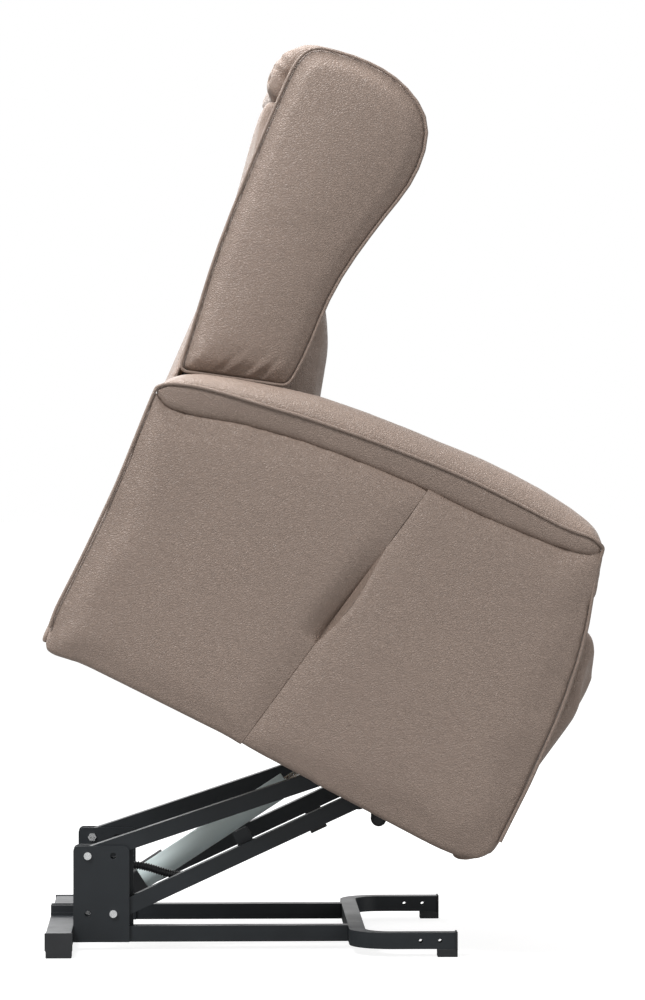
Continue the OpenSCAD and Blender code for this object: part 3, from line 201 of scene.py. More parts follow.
def leather(name, colour, grain=1.0):
    """Pebbled hide, its pebbles drawn out along the level chair's length."""
    f = Finish(name, colour, 0.44)
    f.shader.inputs["Specular IOR Level"].default_value = 0.45
    level = f.turned((1.0, 1.0, 1.0), (0.0, -TIP, 0.0))
    warp = f.add("ShaderNodeTexNoise", Vector=level, Scale=90.0, Detail=2.0).outputs["Color"]
    bent = f.mix("VECTOR", 0.008, level, warp)
    drawn = f.add("ShaderNodeMapping", Vector=bent, Scale=(0.6, 0.8, 1.2)).outputs[0]
    pebble = f.ramp(f.cells(330.0*grain, "DISTANCE_TO_EDGE", drawn), (0.0, 0.0), (0.25, 1.0))
    fine = f.ramp(f.cells(760.0*grain, "DISTANCE_TO_EDGE", drawn), (0.0, 0.0), (0.3, 1.0))
    crease = f.noise(185.0*grain, 4.0, 0.65, 0.4, drawn)
    swell = f.noise(11.0, 2.0, at=level)
    hide = f.noise(4.0, 3.0, 0.55, at=level)
    tone = f.ramp(hide, (0.3, shade(colour, 0.97)), (0.7, shade(colour, 1.03)))
    # Painted shade and highlight: the colour is darkened in the pebbles' and creases' valleys and made a little
    # lighter on their crowns, over the bump.
    for height, valley, crown in ((pebble, 0.9, 1.02), (crease, 0.94, 1.05)):
        painted_grain_shade = f.ramp(height, (0.25, valley), (0.75, crown))
        tone = f.mix("RGBA", 1.0, tone, painted_grain_shade, "MULTIPLY")
    f.use(Base_Color=tone, Roughness=f.spread(crease, 0.3, 0.7, 0.5, 0.36))
    f.bump((swell, 0.006, 0.35), (crease, 0.0009, 0.6), (pebble, 0.0007, 0.8), (fine, 0.0002, 0.4))
    return f.material


def powder_coat():
    colour = (0.021, 0.0245, 0.028)
    f = Finish("charcoal_powder_coat", colour, 0.4)
    f.shader.inputs["Specular IOR Level"].default_value = 0.32
    orange_peel = f.noise(750.0, 2.0)
    cloud = f.noise(14.0, 3.0)
    f.use(Base_Color=f.ramp(cloud, (0.3, shade(colour, 0.86)), (0.7, shade(colour, 1.16))),
          Roughness=f.spread(cloud, 0.3, 0.7, 0.36, 0.5))
    f.bump((orange_peel, 0.0003, 0.25))
    return f.material


def bright_zinc():
    f = Finish("bright_zinc", (0.78, 0.79, 0.79), 0.28, 1.0)
    drawn = f.noise(420.0, 2.0)
    f.use(Roughness=f.spread(drawn, 0.3, 0.7, 0.2, 0.36),
          Base_Color=f.ramp(f.noise(60.0, 2.0), (0.3, (0.68, 0.69, 0.7)), (0.7, (0.83, 0.84, 0.84))))
    f.bump((drawn, 0.0001, 0.2))
    return f.material


def ram_tube_finish():
    f = Finish("satin_grey_tube", (0.78, 0.9, 0.9), 0.5, 0.0)
    along = f.turned((0.12, 1.0, 1.0), (0.0, radians(-33), 0.0))
    brushed = f.noise(700.0, 2.0, 0.6, 0.0, along)
    cloud = f.noise(18.0, 2.0)
    f.use(Base_Color=f.ramp(cloud, (0.3, (0.76, 0.88, 0.88)), (0.7, (0.8, 0.92, 0.92))),
          Roughness=f.spread(brushed, 0.3, 0.7, 0.42, 0.58))
    f.bump((brushed, 0.0001, 0.15))
    return f.material


def moulded(name, colour, roughness, grit=900.0, depth=0.0002):
    f = Finish(name, colour, roughness)
    spark = f.cells(grit)
    cloud = f.noise(25.0, 2.0)
    f.use(Base_Color=f.ramp(cloud, (0.3, shade(colour, 0.85)), (0.7, shade(colour, 1.2))),
          Roughness=f.spread(cloud, 0.3, 0.7, roughness - 0.06, roughness + 0.06))
    f.bump((spark, depth, 0.4))
    return f.material


def timber():
    f = Finish("plain_plywood", (0.6, 0.44, 0.26), 0.6)
    along = f.turned((1.0, 4.0, 14.0))
    figure = f.noise(9.0, 4.0, 0.6, 1.2, along)
    pores = f.noise(160.0, 3.0, 0.6, 0.0, f.turned((0.25, 1.0, 2.0)))
    f.use(Base_Color=f.ramp(figure, (0.3, (0.5, 0.34, 0.19)), (0.55, (0.62, 0.46, 0.28)),
                            (0.75, (0.7, 0.54, 0.35))),
          Roughness=f.spread(pores, 0.3, 0.7, 0.5, 0.7))
    f.bump((pores, 0.0004, 0.3))
    return f.material


def webbing():
    f = Finish("black_webbing", (0.02, 0.02, 0.022), 0.75)
    warp, weft = (f.add("ShaderNodeTexWave", {"bands_direction": way}, Vector=f.place,
                        Scale=180.0).outputs["Fac"] for way in "XY")
    weave = joined(f.tree, "ShaderNodeMath", (warp, weft), operation="MULTIPLY")
    f.use(Base_Color=f.ramp(weave, (0.0, (0.012, 0.012, 0.013)), (1.0, (0.05, 0.05, 0.053))),
          Roughness=f.spread(weave, 0.0, 1.0, 0.65, 0.85))
    f.bump((weave, 0.0008, 0.6))
    return f.material


TAUPE = (0.315, 0.238, 0.196)
LEATHER = leather("pebbled_leather", TAUPE)
# The piping is the same hide with finer grain, made 2 % lighter as a painted highlight on the raised cord.
PIPING_LEATHER_LIT = leather("piping_leather_lit", shade(TAUPE, 1.02), 1.5)
FINISH_OF = {
    "leather": LEATHER,
    "powder_coat": powder_coat(),
    "bolt_zinc": bright_zinc(),
    "ram_tube": ram_tube_finish(),
    "black_plastic": moulded("black_plastic", (0.014, 0.015, 0.017), 0.5),
    "black_rubber": moulded("black_rubber", (0.017, 0.017, 0.018), 0.68, 500.0, 0.0003),
    "webbing": webbing(),
    "timber": timber(),
}
record = frame["record"]
slot_of = {part["node"]: part["material_slot"] for part in record["subparts"]}
body_of = {node: body for body, held in record["behaviour"]["bodies"].items() for node in held}


def coat(piece, material):
    piece.data.materials.clear()
    piece.data.materials.append(material)


for node, piece in nodes.items():
    coat(piece, FINISH_OF[slot_of[node]])


# Tools for shells and seams

def new_piece(name, mesh, material, smooth=True):
    piece = bpy.data.objects.new(name, mesh)
    scene.collection.objects.link(piece)
    coat(piece, material)
    if smooth:
        mesh.shade_smooth()
    return piece


def piece_from(name, shell, material, smooth=True):
    mesh = bpy.data.meshes.new(name)
    shell.to_mesh(mesh)
    shell.free()
    return new_piece(name, mesh, material, smooth)


def shell_of(mesh):
    shell = bmesh.new()
    shell.from_mesh(mesh)
    return shell


def joined_shell(node, level=True):
    """A copy of a CAD node's shell with its loose triangles joined, in the level frame."""
    shell = shell_of(nodes[node].data)
    bmesh.ops.remove_doubles(shell, verts=shell.verts, dist=0.00001)
    bmesh.ops.recalc_face_normals(shell, faces=shell.faces)
    if level:
        bmesh.ops.transform(shell, matrix=LEVEL, verts=shell.verts)
    return shell


def section(shell, point, normal):
    """The longest line in which a plane cuts a shell."""
    cut = shell.copy()
    bmesh.ops.bisect_plane(cut, geom=cut.verts[:] + cut.edges[:] + cut.faces[:], dist=1e-7,
                           plane_co=point, plane_no=normal, clear_inner=True, clear_outer=True)
    cut.edges.index_update()
    lines = []
    left = {edge.index: edge for edge in cut.edges}
    while left:
        start, at = left.pop(next(iter(left))).verts
        line = [start.co.copy(), at.co.copy()]
        onward = [e for e in at.link_edges if e.index in left]
        while onward:
            del left[onward[0].index]
            at = onward[0].other_vert(at)
            line.append(at.co.copy())
            onward = [e for e in at.link_edges if e.index in left]
        lines.append(line)
    cut.free()
    return max(lines, key=length_of)


def length_of(line):
    return sum((b - a).length for a, b in zip(line, line[1:]))


def even(line, step, closed=False, rounds=2):
    """A line resampled at an even step, its corners eased."""
    points = [Vector(p) for p in line]
    if closed and (points[0] - points[-1]).length < 1e-6:
        points.pop()
    for _ in range(rounds):
        eased = []
        for a, b in zip(points, points[1:] + (points[:1] if closed else [])):
            eased += [a.lerp(b, 0.25), a.lerp(b, 0.75)]
        points = eased if closed else [points[0]] + eased + [points[-1]]
    if closed:
        points.append(points[0])
    total = length_of(points)
    count = max(3, round(total/step))
    out, i, run = [], 0, 0.0
    for k in range(count + (0 if closed else 1)):
        goal = min(total*k/count, total - 1e-9)
        while i < len(points) - 2 and run + (points[i + 1] - points[i]).length < goal:
            run += (points[i + 1] - points[i]).length
            i += 1
        span = (points[i + 1] - points[i]).length
        out.append(points[i].lerp(points[i + 1], (goal - run)/span if span > 1e-12 else 0.0))
    return out


def coordinates(mesh):
    co = np.empty(len(mesh.vertices)*3)
    mesh.vertices.foreach_get("co", co)
    return co.reshape(-1, 3)


def normals(mesh):
    no = np.empty(len(mesh.vertices)*3)
    mesh.vertex_normals.foreach_get("vector", no)
    return no.reshape(-1, 3)


def put(mesh, co):
    mesh.vertices.foreach_set("co", np.ascontiguousarray(co, dtype=np.float32).ravel())
    mesh.update()


def swell_out(mesh, rise):
    """Moves each point of a mesh out along its normal."""
    put(mesh, coordinates(mesh) + normals(mesh)*rise[:, None])


def fading(distance, width):
    """1 at no distance, fading to nothing over about two widths."""
    return np.exp(-(distance/width)**2)


def outer_face(co, start, depth):
    """1 on a right-hand piece's outer face, 0 from start inwards, even over the depth between."""
    return np.clip((-co[:, 1] - start)/depth, 0, 1)


def finished_mesh(piece):
    """A mesh of a piece with its modifiers, or of a curve with its thickness."""
    graph = bpy.context.evaluated_depsgraph_get()
    return bpy.data.meshes.new_from_object(piece.evaluated_get(graph), depsgraph=graph)


def settle(piece):
    """Makes a piece's modifiers part of its mesh."""
    mesh = finished_mesh(piece)
    piece.modifiers.clear()
    old = piece.data
    piece.data = mesh
    bpy.data.meshes.remove(old)


def tube(name, line, radius, roundness, closed=False, widths=(1.0,)):
    """A round tube's mesh along a line; widths scale its radius from point to point in turn."""
    curve = bpy.data.curves.new(name, "CURVE")
    curve.dimensions = "3D"
    curve.bevel_depth = radius
    curve.bevel_resolution = roundness
    curve.use_fill_caps = True
    spline = curve.splines.new("POLY")
    spline.points.add(len(line) - 1)
    spline.use_cyclic_u = closed
    for i, (point, p) in enumerate(zip(spline.points, line)):
        point.co = (*p, 1.0)
        point.radius = widths[i % len(widths)]
    cord = bpy.data.objects.new(name, curve)
    scene.collection.objects.link(cord)
    mesh = finished_mesh(cord)
    bpy.data.objects.remove(cord)
    return mesh


def raise_up(piece):
    """Moves a finished mesh from the level frame to its place on the tipped chair."""
    piece.data.transform(TIPPED)
    piece.data.update()


def mirrored(piece, name):
    """The same piece for the other side of the chair."""
    shell = shell_of(piece.data)
    bmesh.ops.scale(shell, vec=(1, -1, 1), verts=shell.verts)
    bmesh.ops.reverse_faces(shell, faces=shell.faces)
    return piece_from(name, shell, piece.data.materials[0])


def point_tree(points):
    """Points sorted for finding the nearest one."""
    tree = KDTree(len(points))
    for i, p in enumerate(points):
        tree.insert(p, i)
    tree.balance()
    return tree


def seam_distance(mesh, lines, reach):
    """For each point of a mesh near a seam: its distance and how far along the seam it lies."""
    along = []
    for line in lines:
        along.append(0.0)
        for a, b in zip(line, line[1:]):
            along.append(along[-1] + (b - a).length)
    tree = point_tree([p for line in lines for p in line])
    far = np.full(len(mesh.vertices), 1.0)
    where = np.zeros(len(mesh.vertices))
    for v in mesh.vertices:
        _, index, distance = tree.find(v.co)
        if distance < reach:
            far[v.index] = distance
            where[v.index] = along[index]
    return far, where


# Padded leather pieces

VOXEL = 0.006
CLOTH_STEPS = 20


class Pad:
    """A padded leather piece made from one CAD cushion.

    held(co) says which points are sewn or glued down, and swell is how far the leather may puff
    out. ease is the share of spare leather, and taut says how much of its wrinkling is drawn flat.
    inset is the share of the swell that the cover starts below the cushion's face, and shaped(co)
    moves a point of the cover where the real pad differs from the plain cushion."""

    def __init__(self, name, node, held, swell, voxel=VOXEL, ease=0.004, taut=12, inset=0.35,
                 shaped=None):
        shell = joined_shell(node)
        self.node = node
        self.swell = swell
        self.taut = taut
        self.ease = ease
        shell.normal_update()
        for v in shell.verts:
            if not held(v.co):
                v.co -= inset*swell*v.normal
        self.piece = piece_from(name, shell, LEATHER)
        remesh = self.piece.modifiers.new("cover", "REMESH")
        remesh.mode = "VOXEL"
        remesh.voxel_size = voxel
        remesh.use_smooth_shade = True
        smooth = self.piece.modifiers.new("iron", "SMOOTH")
        smooth.factor = 0.5
        smooth.iterations = 2
        settle(self.piece)
        if shaped:
            for v in self.piece.data.vertices:
                v.co = shaped(v.co.copy())
        self.held = [v.index for v in self.piece.data.vertices if held(v.co)]

    def stuff(self):
        """Gives the cover its cloth and filling."""
        group = self.piece.vertex_groups.new(name="sewn")
        group.add(self.held, 1.0, "REPLACE")
        cloth = self.piece.modifiers.new("filling", "CLOTH")
        settings = cloth.settings
        settings.quality = 4
        settings.mass = 0.3
        settings.bending_stiffness = 2.0
        settings.use_pressure = True
        settings.uniform_pressure_force = 4.0
        settings.shrink_min = -self.ease
        settings.vertex_group_mass = "sewn"
        settings.effector_weights.gravity = 0.0
        cloth.collision_settings.use_collision = False
        cloth.point_cache.frame_start = 1
        cloth.point_cache.frame_end = CLOTH_STEPS
        self.before = coordinates(self.piece.data)

    def cap(self):
        """Takes the filled shape, no point further out than the swell allows."""
        settle(self.piece)
        self.piece.vertex_groups.clear()
        move = coordinates(self.piece.data) - self.before
        ends = np.empty(2*len(self.piece.data.edges), dtype=np.int64)
        self.piece.data.edges.foreach_get("vertices", ends)
        a, b = ends[0::2], ends[1::2]
        count = len(move)
        ties = np.bincount(a, minlength=count) + np.bincount(b, minlength=count)
        for _ in range(self.taut):
            around = np.stack([np.bincount(a, move[b, k], count) + np.bincount(b, move[a, k], count)
                               for k in range(3)], axis=1)
            move = 0.5*move + 0.5*around/ties[:, None]
        far = np.linalg.norm(move, axis=1, keepdims=True)
        soft = self.swell*np.tanh(far/self.swell)/np.maximum(far, 1e-9)
        put(self.piece.data, self.before + move*soft)

    def refine(self):
        """Evens the cover and splits it finer, for seams and folds."""
        smooth = self.piece.modifiers.new("iron", "SMOOTH")
        smooth.factor = 0.4
        smooth.iterations = 2
        fine = self.piece.modifiers.new("fine", "SUBSURF")
        fine.levels = fine.render_levels = 1
        settle(self.piece)

    def tuck(self, lines, depth, width):
        """Presses the leather down along its seams."""
        mesh = self.piece.data
        far, _ = seam_distance(mesh, lines, 4*width)
        swell_out(mesh, -depth*fading(far, width))

    def gather(self, lines, height, pitch, reach):
        """Small puckers that run away from a seam."""
        mesh = self.piece.data
        far, where = seam_distance(mesh, lines, 3*reach)
        wave = (np.sin(2*pi*where/pitch + 1.3*np.sin(2*pi*where/(2.7*pitch)))
                *(0.55 + 0.45*np.sin(2*pi*where/(5.3*pitch) + 0.8)))
        swell_out(mesh, height*wave*np.exp(-far/reach)*np.minimum(1, far/0.003))


def piping(name, line, body, radius, closed=True):
    """Leather-covered cord sewn along a seam."""
    mesh = tube(name, line, radius, 2, closed)
    mesh.transform(TIPPED)
    piece = new_piece(name, mesh, PIPING_LEATHER_LIT)
    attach(piece, body)


# The CAD shells that carry seams, in the level frame
wing_shell = joined_shell("wing_right")
arm_shell = joined_shell("arm_pad_right")
front_shell = joined_shell("side_panel_front_left")
rear_shell = joined_shell("side_panel_rear_left")
headrest_shell = joined_shell("headrest_cushion")


def from_mirror(line):
    return [Vector((p.x, -p.y, p.z)) for p in line]


def share(value, start, end):
    """0 at start, 1 at end, straight between."""
    return min(max((value - start)/(end - start), 0.0), 1.0)


def soft_share(value, start, end):
    """0 at start, 1 at end, with a soft start and stop."""
    k = share(value, start, end)
    return k*k*(3 - 2*k)


FOOT_DROP = 0.0115


def lowered_foot(p):
    """Brings the rear of a wing's foot down to the arm, as the stuffed wing hangs."""
    p.z -= FOOT_DROP*share(p.x, -0.41, -0.54)*soft_share(p.z, 0.59, 0.49)
    return p


# Wing: one seam round its outer face. Headrest: one round each end. WING_IN and WING_OUT are how
# far the wing's two faces lie from the chair's middle.
SEAM_STEP = 0.004
ACROSS = (0, 1, 0)
WING_IN = 0.215
WING_OUT = -min(v.co.y for v in wing_shell.verts)
WING_SEAM_Y = -WING_OUT + 0.019
HEADREST_SEAM_Y = -0.207
wing_seam = even([lowered_foot(p) for p in section(wing_shell, (0, WING_SEAM_Y, 0), ACROSS)],
                 SEAM_STEP, True)
headrest_seam = even(section(headrest_shell, (0, HEADREST_SEAM_Y, 0), ACROSS), SEAM_STEP, True)

# Arm: the piped edge of the border, the widest and highest point of each station. ARM_OUT and
# ARM_IN are how far the arm's two sides lie from the chair's middle.
stations = {}
for v in arm_shell.verts:
    stations.setdefault(round(v.co.x, 4), []).append(v.co)
station_x = sorted(stations)
station_low = [min(co.z for co in stations[x]) for x in station_x]
arm_edge = []
for x in station_x:
    widest = min(co.y for co in stations[x])
    rim = [co for co in stations[x] if co.y < widest + 0.0005]
    arm_edge.append(max(rim, key=lambda co: co.z).copy())
ARM_OUT = 0.36
ARM_IN = 0.247
arm_seam = even(arm_edge, SEAM_STEP)
arm_seam_inner = [Vector((p.x, -(ARM_OUT + ARM_IN) - p.y, p.z)) for p in arm_seam]


def low_z(x):
    """Height of the arm pad's underside."""
    return np.interp(x, station_x, station_low)


# Side seam between the two panels: its foot, its direction, and the way forward across it. SLIT
# says where along the seam the pocket's mouth starts and ends, BOARD_OUT is the outer face of the
# timber board, and PANEL_EDGE_Y the plane in which the piping lies against the panels.
SEAM_FOOT = Vector((-0.211, 0.0, 0.003))
SEAM_TOP = Vector((-0.1327, 0.0, 0.4768))
SEAM_UP = (SEAM_TOP - SEAM_FOOT).normalized()
SEAM_FORWARD = Vector((SEAM_UP.z, 0.0, -SEAM_UP.x))
SLIT = (0.191, 0.386)
BOARD_OUT = 0.3335
PANEL_EDGE_Y = 0.3485


def panel_edge_line(shell, keep, outward):
    """The part of a panel's outline that the piping follows, moved outward along x."""
    outline = even(section(shell, (0, PANEL_EDGE_Y, 0), ACROSS), SEAM_STEP, True)
    first = max(range(len(outline)), key=lambda i: outline[i].z if keep(outline[i]) else -1)
    ring = outline[first:] + outline[:first]
    if not keep(ring[1]):
        ring = [ring[0]] + ring[:0:-1]
    line = []
    for point in ring:
        if not keep(point):
            break
        line.append(Vector((point.x, -point.y, point.z)))
    for point in line:
        point.x += outward
    return line


def on_front_edge(p):
    return p.x > 0.12 and 0.05 < p.z < 0.488


def on_rear_edge(p):
    return p.x < -0.54 - 0.02*share(p.z, 0.3, 0.4) and 0.03 < p.z < 0.41


front_edge = panel_edge_line(front_shell, on_front_edge, -0.0012)
rear_edge = panel_edge_line(rear_shell, on_rear_edge, 0.0008)
arm_piping = even([*rear_edge[::-1], *arm_seam, *front_edge], SEAM_STEP, rounds=7)


# How far a side panel runs past the side seam and up under the arm, each with the width of the
# strip that moves, and how far its toe corner moves
PAST_SEAM, PAST_WIDTH = 0.025, 0.04
UNDER_ARM, UNDER_WIDTH = 0.005, 0.02
TOE_MOVE = Vector((0.004, 0.0, 0.009))


def extended(inside):
    """Runs a side panel on past the side seam, and up under the arm's border."""
    def shaped(p):
        past = inside*(p - SEAM_FOOT).dot(SEAM_FORWARD)
        if past < PAST_WIDTH:
            p -= SEAM_FORWARD*(inside*PAST_SEAM*((PAST_WIDTH - past)/PAST_WIDTH)**2)
        p.z += UNDER_ARM*max((UNDER_WIDTH - low_z(p.x) + p.z)/UNDER_WIDTH, 0)
        if p.z > 0.44:
            p += TOE_MOVE*share(p.x, 0.1, 0.14)
        return p
    return shaped


def near_line(line, reach):
    """A test of whether a point lies within reach of a line."""
    tree = point_tree(line)
    return lambda co: tree.find(co)[2] < reach


# Leather this near a seam or a board is sewn or glued down
HELD_WITHIN = 0.006
on_wing_seam = near_line(wing_seam, HELD_WITHIN)
on_arm_seam = near_line(arm_seam + arm_seam_inner, HELD_WITHIN)


def round_face(pad, line, reach, drop):
    """Rounds the outer face of a wing down towards its seam."""
    tree = point_tree([(p.x, 0.0, p.z) for p in line])
    mesh = pad.piece.data
    co = coordinates(mesh)
    near = np.array([tree.find((x, 0.0, z))[2] for x, y, z in co])
    face = outer_face(co, 0.255, 0.02)
    co[:, 1] += drop*face*np.clip(1 - near/reach, 0, 1)**2
    put(mesh, co)


CORNER_REACH = 0.014


def sew_corner(pad, corner):
    """Draws a panel's top corner up to the end of the arm's seam."""
    mesh = pad.piece.data
    co = coordinates(mesh)
    away = np.array(corner) - co
    far = np.linalg.norm(away, axis=1, keepdims=True)
    put(mesh, co + away*0.8*fading(far, CORNER_REACH))


def fold(pad, line, depth, width):
    """One crease along a short line."""
    pad.tuck([even([Vector(p) for p in line], 0.002)], depth, width)


PUCKER = 0.0021


def pucker_foot(pad):
    """Soft folds that rise from the wing's foot, where the hide is pulled under."""
    mesh = pad.piece.data
    co = coordinates(mesh)
    foot = 0.474 + 0.32*(co[:, 0] + 0.553)
    up = (co[:, 2] - foot)/0.03
    rows = np.clip((co[:, 0] + 0.54)/0.09, 0, 1)*np.clip((-0.4 - co[:, 0])/0.03, 0, 1)
    lean = co[:, 0] - 0.5*(co[:, 2] - foot)
    wave = np.sin(2*pi*lean/0.031) + 0.6*np.sin(2*pi*lean/0.019 + 1.1)
    outer = outer_face(co, 0.262, 0.01)
    swell_out(mesh, PUCKER*wave*np.exp(-np.clip(up, 0, 9)**2)*rows*outer)


# How much the legrest pad's stuffing adds: in front at its foot, in front further up, and on top
FULLER_FOOT, FULLER_FRONT, FULLER_TOP = 0.002, 0.009, 0.005


def full_front(p):
    """A legrest pad stuffed fuller towards its top."""
    p.x += share(p.x, 0.172, 0.197)*(FULLER_FOOT + FULLER_FRONT*share(p.z, 0.15, 0.3))
    p.z += FULLER_TOP*share(p.z, 0.3, 0.38)
    return p


# The outside back's two faces where it is BACK_Z high, its lean, and how far it is drawn in
BACK_FRONT_X, BACK_REAR_X, BACK_Z = -0.5527, -0.5772, 0.5
BACK_LEAN = 0.0507
DRAWN_IN = 0.012


def drawn_in(p):
    """An outside back drawn tight over the posts below the headrest."""
    lean = BACK_LEAN*(p.z - BACK_Z)
    p.x += DRAWN_IN*share(p.x, BACK_FRONT_X - lean, BACK_REAR_X - lean)*soft_share(p.z, 0.9, 0.7)
    return p


def on_wing_inside(co):
    return co.y > -WING_IN - 0.004 or on_wing_seam(co)


def on_side_board(co):
    return co.y < BOARD_OUT + HELD_WITHIN


pads = {}


def add_pad(name, *args, **kwargs):
    pads[name] = Pad(name, *args, **kwargs)


# Each pad: its CAD cushion, where its cover is held, and how far the cover may puff out
add_pad("wing_cover_right", "wing_right", on_wing_inside, 0.009, shaped=lowered_foot)
add_pad("arm_cover_right", "arm_pad_right", on_arm_seam, 0.008, taut=20)
add_pad("side_front_cover_left", "side_panel_front_left", on_side_board, 0.006, inset=0.1,
        shaped=extended(1))
add_pad("side_rear_cover_left", "side_panel_rear_left", on_side_board, 0.006, inset=0.1,
        shaped=extended(-1))
add_pad("arm_inner_cover_right", "arm_inner_right", lambda co: co.y < -0.256, 0.003)
add_pad("arm_front_cover_right", "arm_front_right", lambda co: co.y > 0, 0.003)
add_pad("seat_cover", "seat_cushion", lambda co: co.z < 0.285, 0.012, voxel=0.008)
add_pad("back_cover", "back_cushion", lambda co: co.x < -0.52, 0.014, voxel=0.008, ease=0.015, taut=4)
add_pad("headrest_cover", "headrest_cushion", lambda co: abs(co.y) > 0.21, 0.012, ease=0.03, taut=1)
add_pad("outside_back_cover", "outside_back", lambda co: abs(co.y) > 0.205, 0.004, voxel=0.007,
        inset=0.1, shaped=drawn_in)
add_pad("legrest_cover", "legrest_pad", lambda co: co.x < 0.17, 0.008, voxel=0.007, inset=0.1,
        shaped=full_front)
add_pad("rear_valance_cover", "rear_valance", lambda co: co.x > -0.555, 0.003)

for pad in pads.values():
    pad.stuff()
for step in range(1, CLOTH_STEPS + 1):
    scene.frame_set(step)
for pad in pads.values():
    pad.cap()
scene.frame_set(1)
for pad in pads.values():
    pad.refine()

round_face(pads["wing_cover_right"], wing_seam, 0.034, 0.009)
sew_corner(pads["side_rear_cover_left"], from_mirror(arm_seam)[0])
sew_corner(pads["side_front_cover_left"], from_mirror(arm_seam)[-1])
pads["wing_cover_right"].tuck([wing_seam], 0.0014, 0.004)
pads["wing_cover_right"].gather([wing_seam], 0.0005, 0.021, 0.012)
pads["arm_cover_right"].tuck([arm_seam], 0.0015, 0.003)
pads["arm_cover_right"].gather([arm_seam], 0.0004, 0.017, 0.008)
pads["headrest_cover"].gather([headrest_seam, from_mirror(headrest_seam)], 0.0016, 0.026, 0.02)
for side in (-1, 1):
    fold(pads["headrest_cover"], [(-0.645, 0.19*side, 0.928), (-0.63, 0.2*side, 0.94),
                                  (-0.61, 0.21*side, 0.951)], 0.006, 0.006)
pucker_foot(pads["wing_cover_right"])


SEAM_GAP = 0.0002


def trim_to_seam(piece, inside):
    """Cuts a side panel straight along the side seam and closes its cut edge."""
    shell = shell_of(piece.data)
    bmesh.ops.bisect_plane(shell, geom=shell.verts[:] + shell.edges[:] + shell.faces[:], dist=1e-6,
                           plane_co=SEAM_FOOT + SEAM_FORWARD*(inside*SEAM_GAP),
                           plane_no=SEAM_FORWARD*inside, clear_inner=True)
    lip = [v for v in shell.verts if v.is_boundary]
    bmesh.ops.remove_doubles(shell, verts=lip, dist=0.0009)
    rim = [e for e in shell.edges if e.is_boundary]
    bmesh.ops.edgeloop_fill(shell, edges=rim)
    shell.to_mesh(piece.data)
    shell.free()
    piece.data.shade_smooth()
    piece.data.set_sharp_from_angle(angle=radians(50))


trim_to_seam(pads["side_front_cover_left"].piece, 1)
trim_to_seam(pads["side_rear_cover_left"].piece, -1)

# The handset pocket: how far its lip stands forward, how far the lip's edge turns in, and the
# depth of the hollow behind it
LIP_FORWARD = 0.0112
LIP_TURN = 0.0016
POCKET_DEPTH = 0.027


def open_pocket(piece, inside):
    """Opens the side seam into the pocket's mouth: a taut lip in front, a hollow behind it,
    deepest near the mouth's lower end."""
    mesh = piece.data
    co = coordinates(mesh)
    away = co - np.array(SEAM_FOOT)
    along = np.clip((away @ np.array(SEAM_UP) - SLIT[0])/(SLIT[1] - SLIT[0]), 0, 1)
    across = np.abs(away @ np.array(SEAM_FORWARD))
    forward = LIP_FORWARD*np.abs(np.sin(pi*along**0.8))**1.5
    face = outer_face(co, 0.340, 0.008)
    if inside > 0:
        shift = forward*fading(across, 0.035)
        turned_in = LIP_TURN*fading(across, LIP_TURN)*(forward > 0)
        rise = 0.22*forward*fading(across, 0.022)*face - turned_in
    else:
        hollow = POCKET_DEPTH*np.abs(np.sin(pi*along**0.6))**1.25
        shift = (forward + 0.25*hollow)*fading(across, 0.02)
        rise = -hollow*fading(across, 0.021)
    co += shift[:, None]*np.array(SEAM_FORWARD)
    co[:, 1] -= rise
    put(mesh, co)


# Right and left covers of each pair come from one pattern, cut for the side named here
PAIRS = {
    "wing_cover": ("right", "wing"),
    "arm_cover": ("right", "arm_pad"),
    "side_front_cover": ("left", "side_panel_front"),
    "side_rear_cover": ("left", "side_panel_rear"),
    "arm_inner_cover": ("right", "arm_inner"),
    "arm_front_cover": ("right", "arm_front"),
}
cover_of = {name: pad.node for name, pad in pads.items()}
for cover, (side, node) in PAIRS.items():
    other = "left" if side == "right" else "right"
    mirrored(pads[f"{cover}_{side}"].piece, f"{cover}_{other}")
    cover_of[f"{cover}_{other}"] = f"{node}_{other}"
open_pocket(bpy.data.objects["side_front_cover_right"], 1)
open_pocket(bpy.data.objects["side_rear_cover_right"], -1)

for cover, node in cover_of.items():
    piece = bpy.data.objects[cover]
    raise_up(piece)
    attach(piece, body_of[node])
    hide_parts(node)

WING_PIPING = 0.0025
ARM_PIPING = 0.0027
piping("wing_piping_right", wing_seam, "backrest", WING_PIPING)
piping("wing_piping_left", from_mirror(wing_seam), "backrest", WING_PIPING)
piping("arm_piping_right", arm_piping, "chair", ARM_PIPING, closed=False)
piping("arm_piping_left", from_mirror(arm_piping), "chair", ARM_PIPING, closed=False)


# Conduit and steel

def ribbed_conduit():
    """Black corrugated conduit: grooves about 1.3 mm deep, 4 mm from one to the next."""
    last = len(CONDUIT_POINTS) - 1
    centre = even([conduit_point(last*i/200) for i in range(201)], 0.001, rounds=0)
    mesh = tube("ribbed_conduit", centre, CONDUIT_R, 4, widths=(1.0, 1.0, 0.8, 0.8))
    piece = new_piece("ribbed_conduit", mesh, FINISH_OF["black_plastic"], smooth=False)
    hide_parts("cable_conduit")
    length_of(centre)
    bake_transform(piece)


ribbed_conduit()


def softened(node, width=0.0008):
    """A copy of a steel or plastic CAD node with its sharp edges eased."""
    shell = joined_shell(node, level=False)
    bmesh.ops.dissolve_limit(shell, angle_limit=radians(0.5), verts=shell.verts, edges=shell.edges)
    piece = piece_from(f"{node}_eased", shell, FINISH_OF[slot_of[node]])
    bevel = piece.modifiers.new("eased", "BEVEL")
    bevel.width = width
    bevel.segments = 2
    bevel.limit_method = "ANGLE"
    bevel.angle_limit = radians(50)
    bevel.use_clamp_overlap = True
    settle(piece)
    piece.data.set_sharp_from_angle(angle=radians(15))
    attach(piece, body_of[node])
    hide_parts(node)


BUFFER_X, BUFFER_HEAD_Y, BUFFER_Z = 0.09135, 0.1954, 0.206


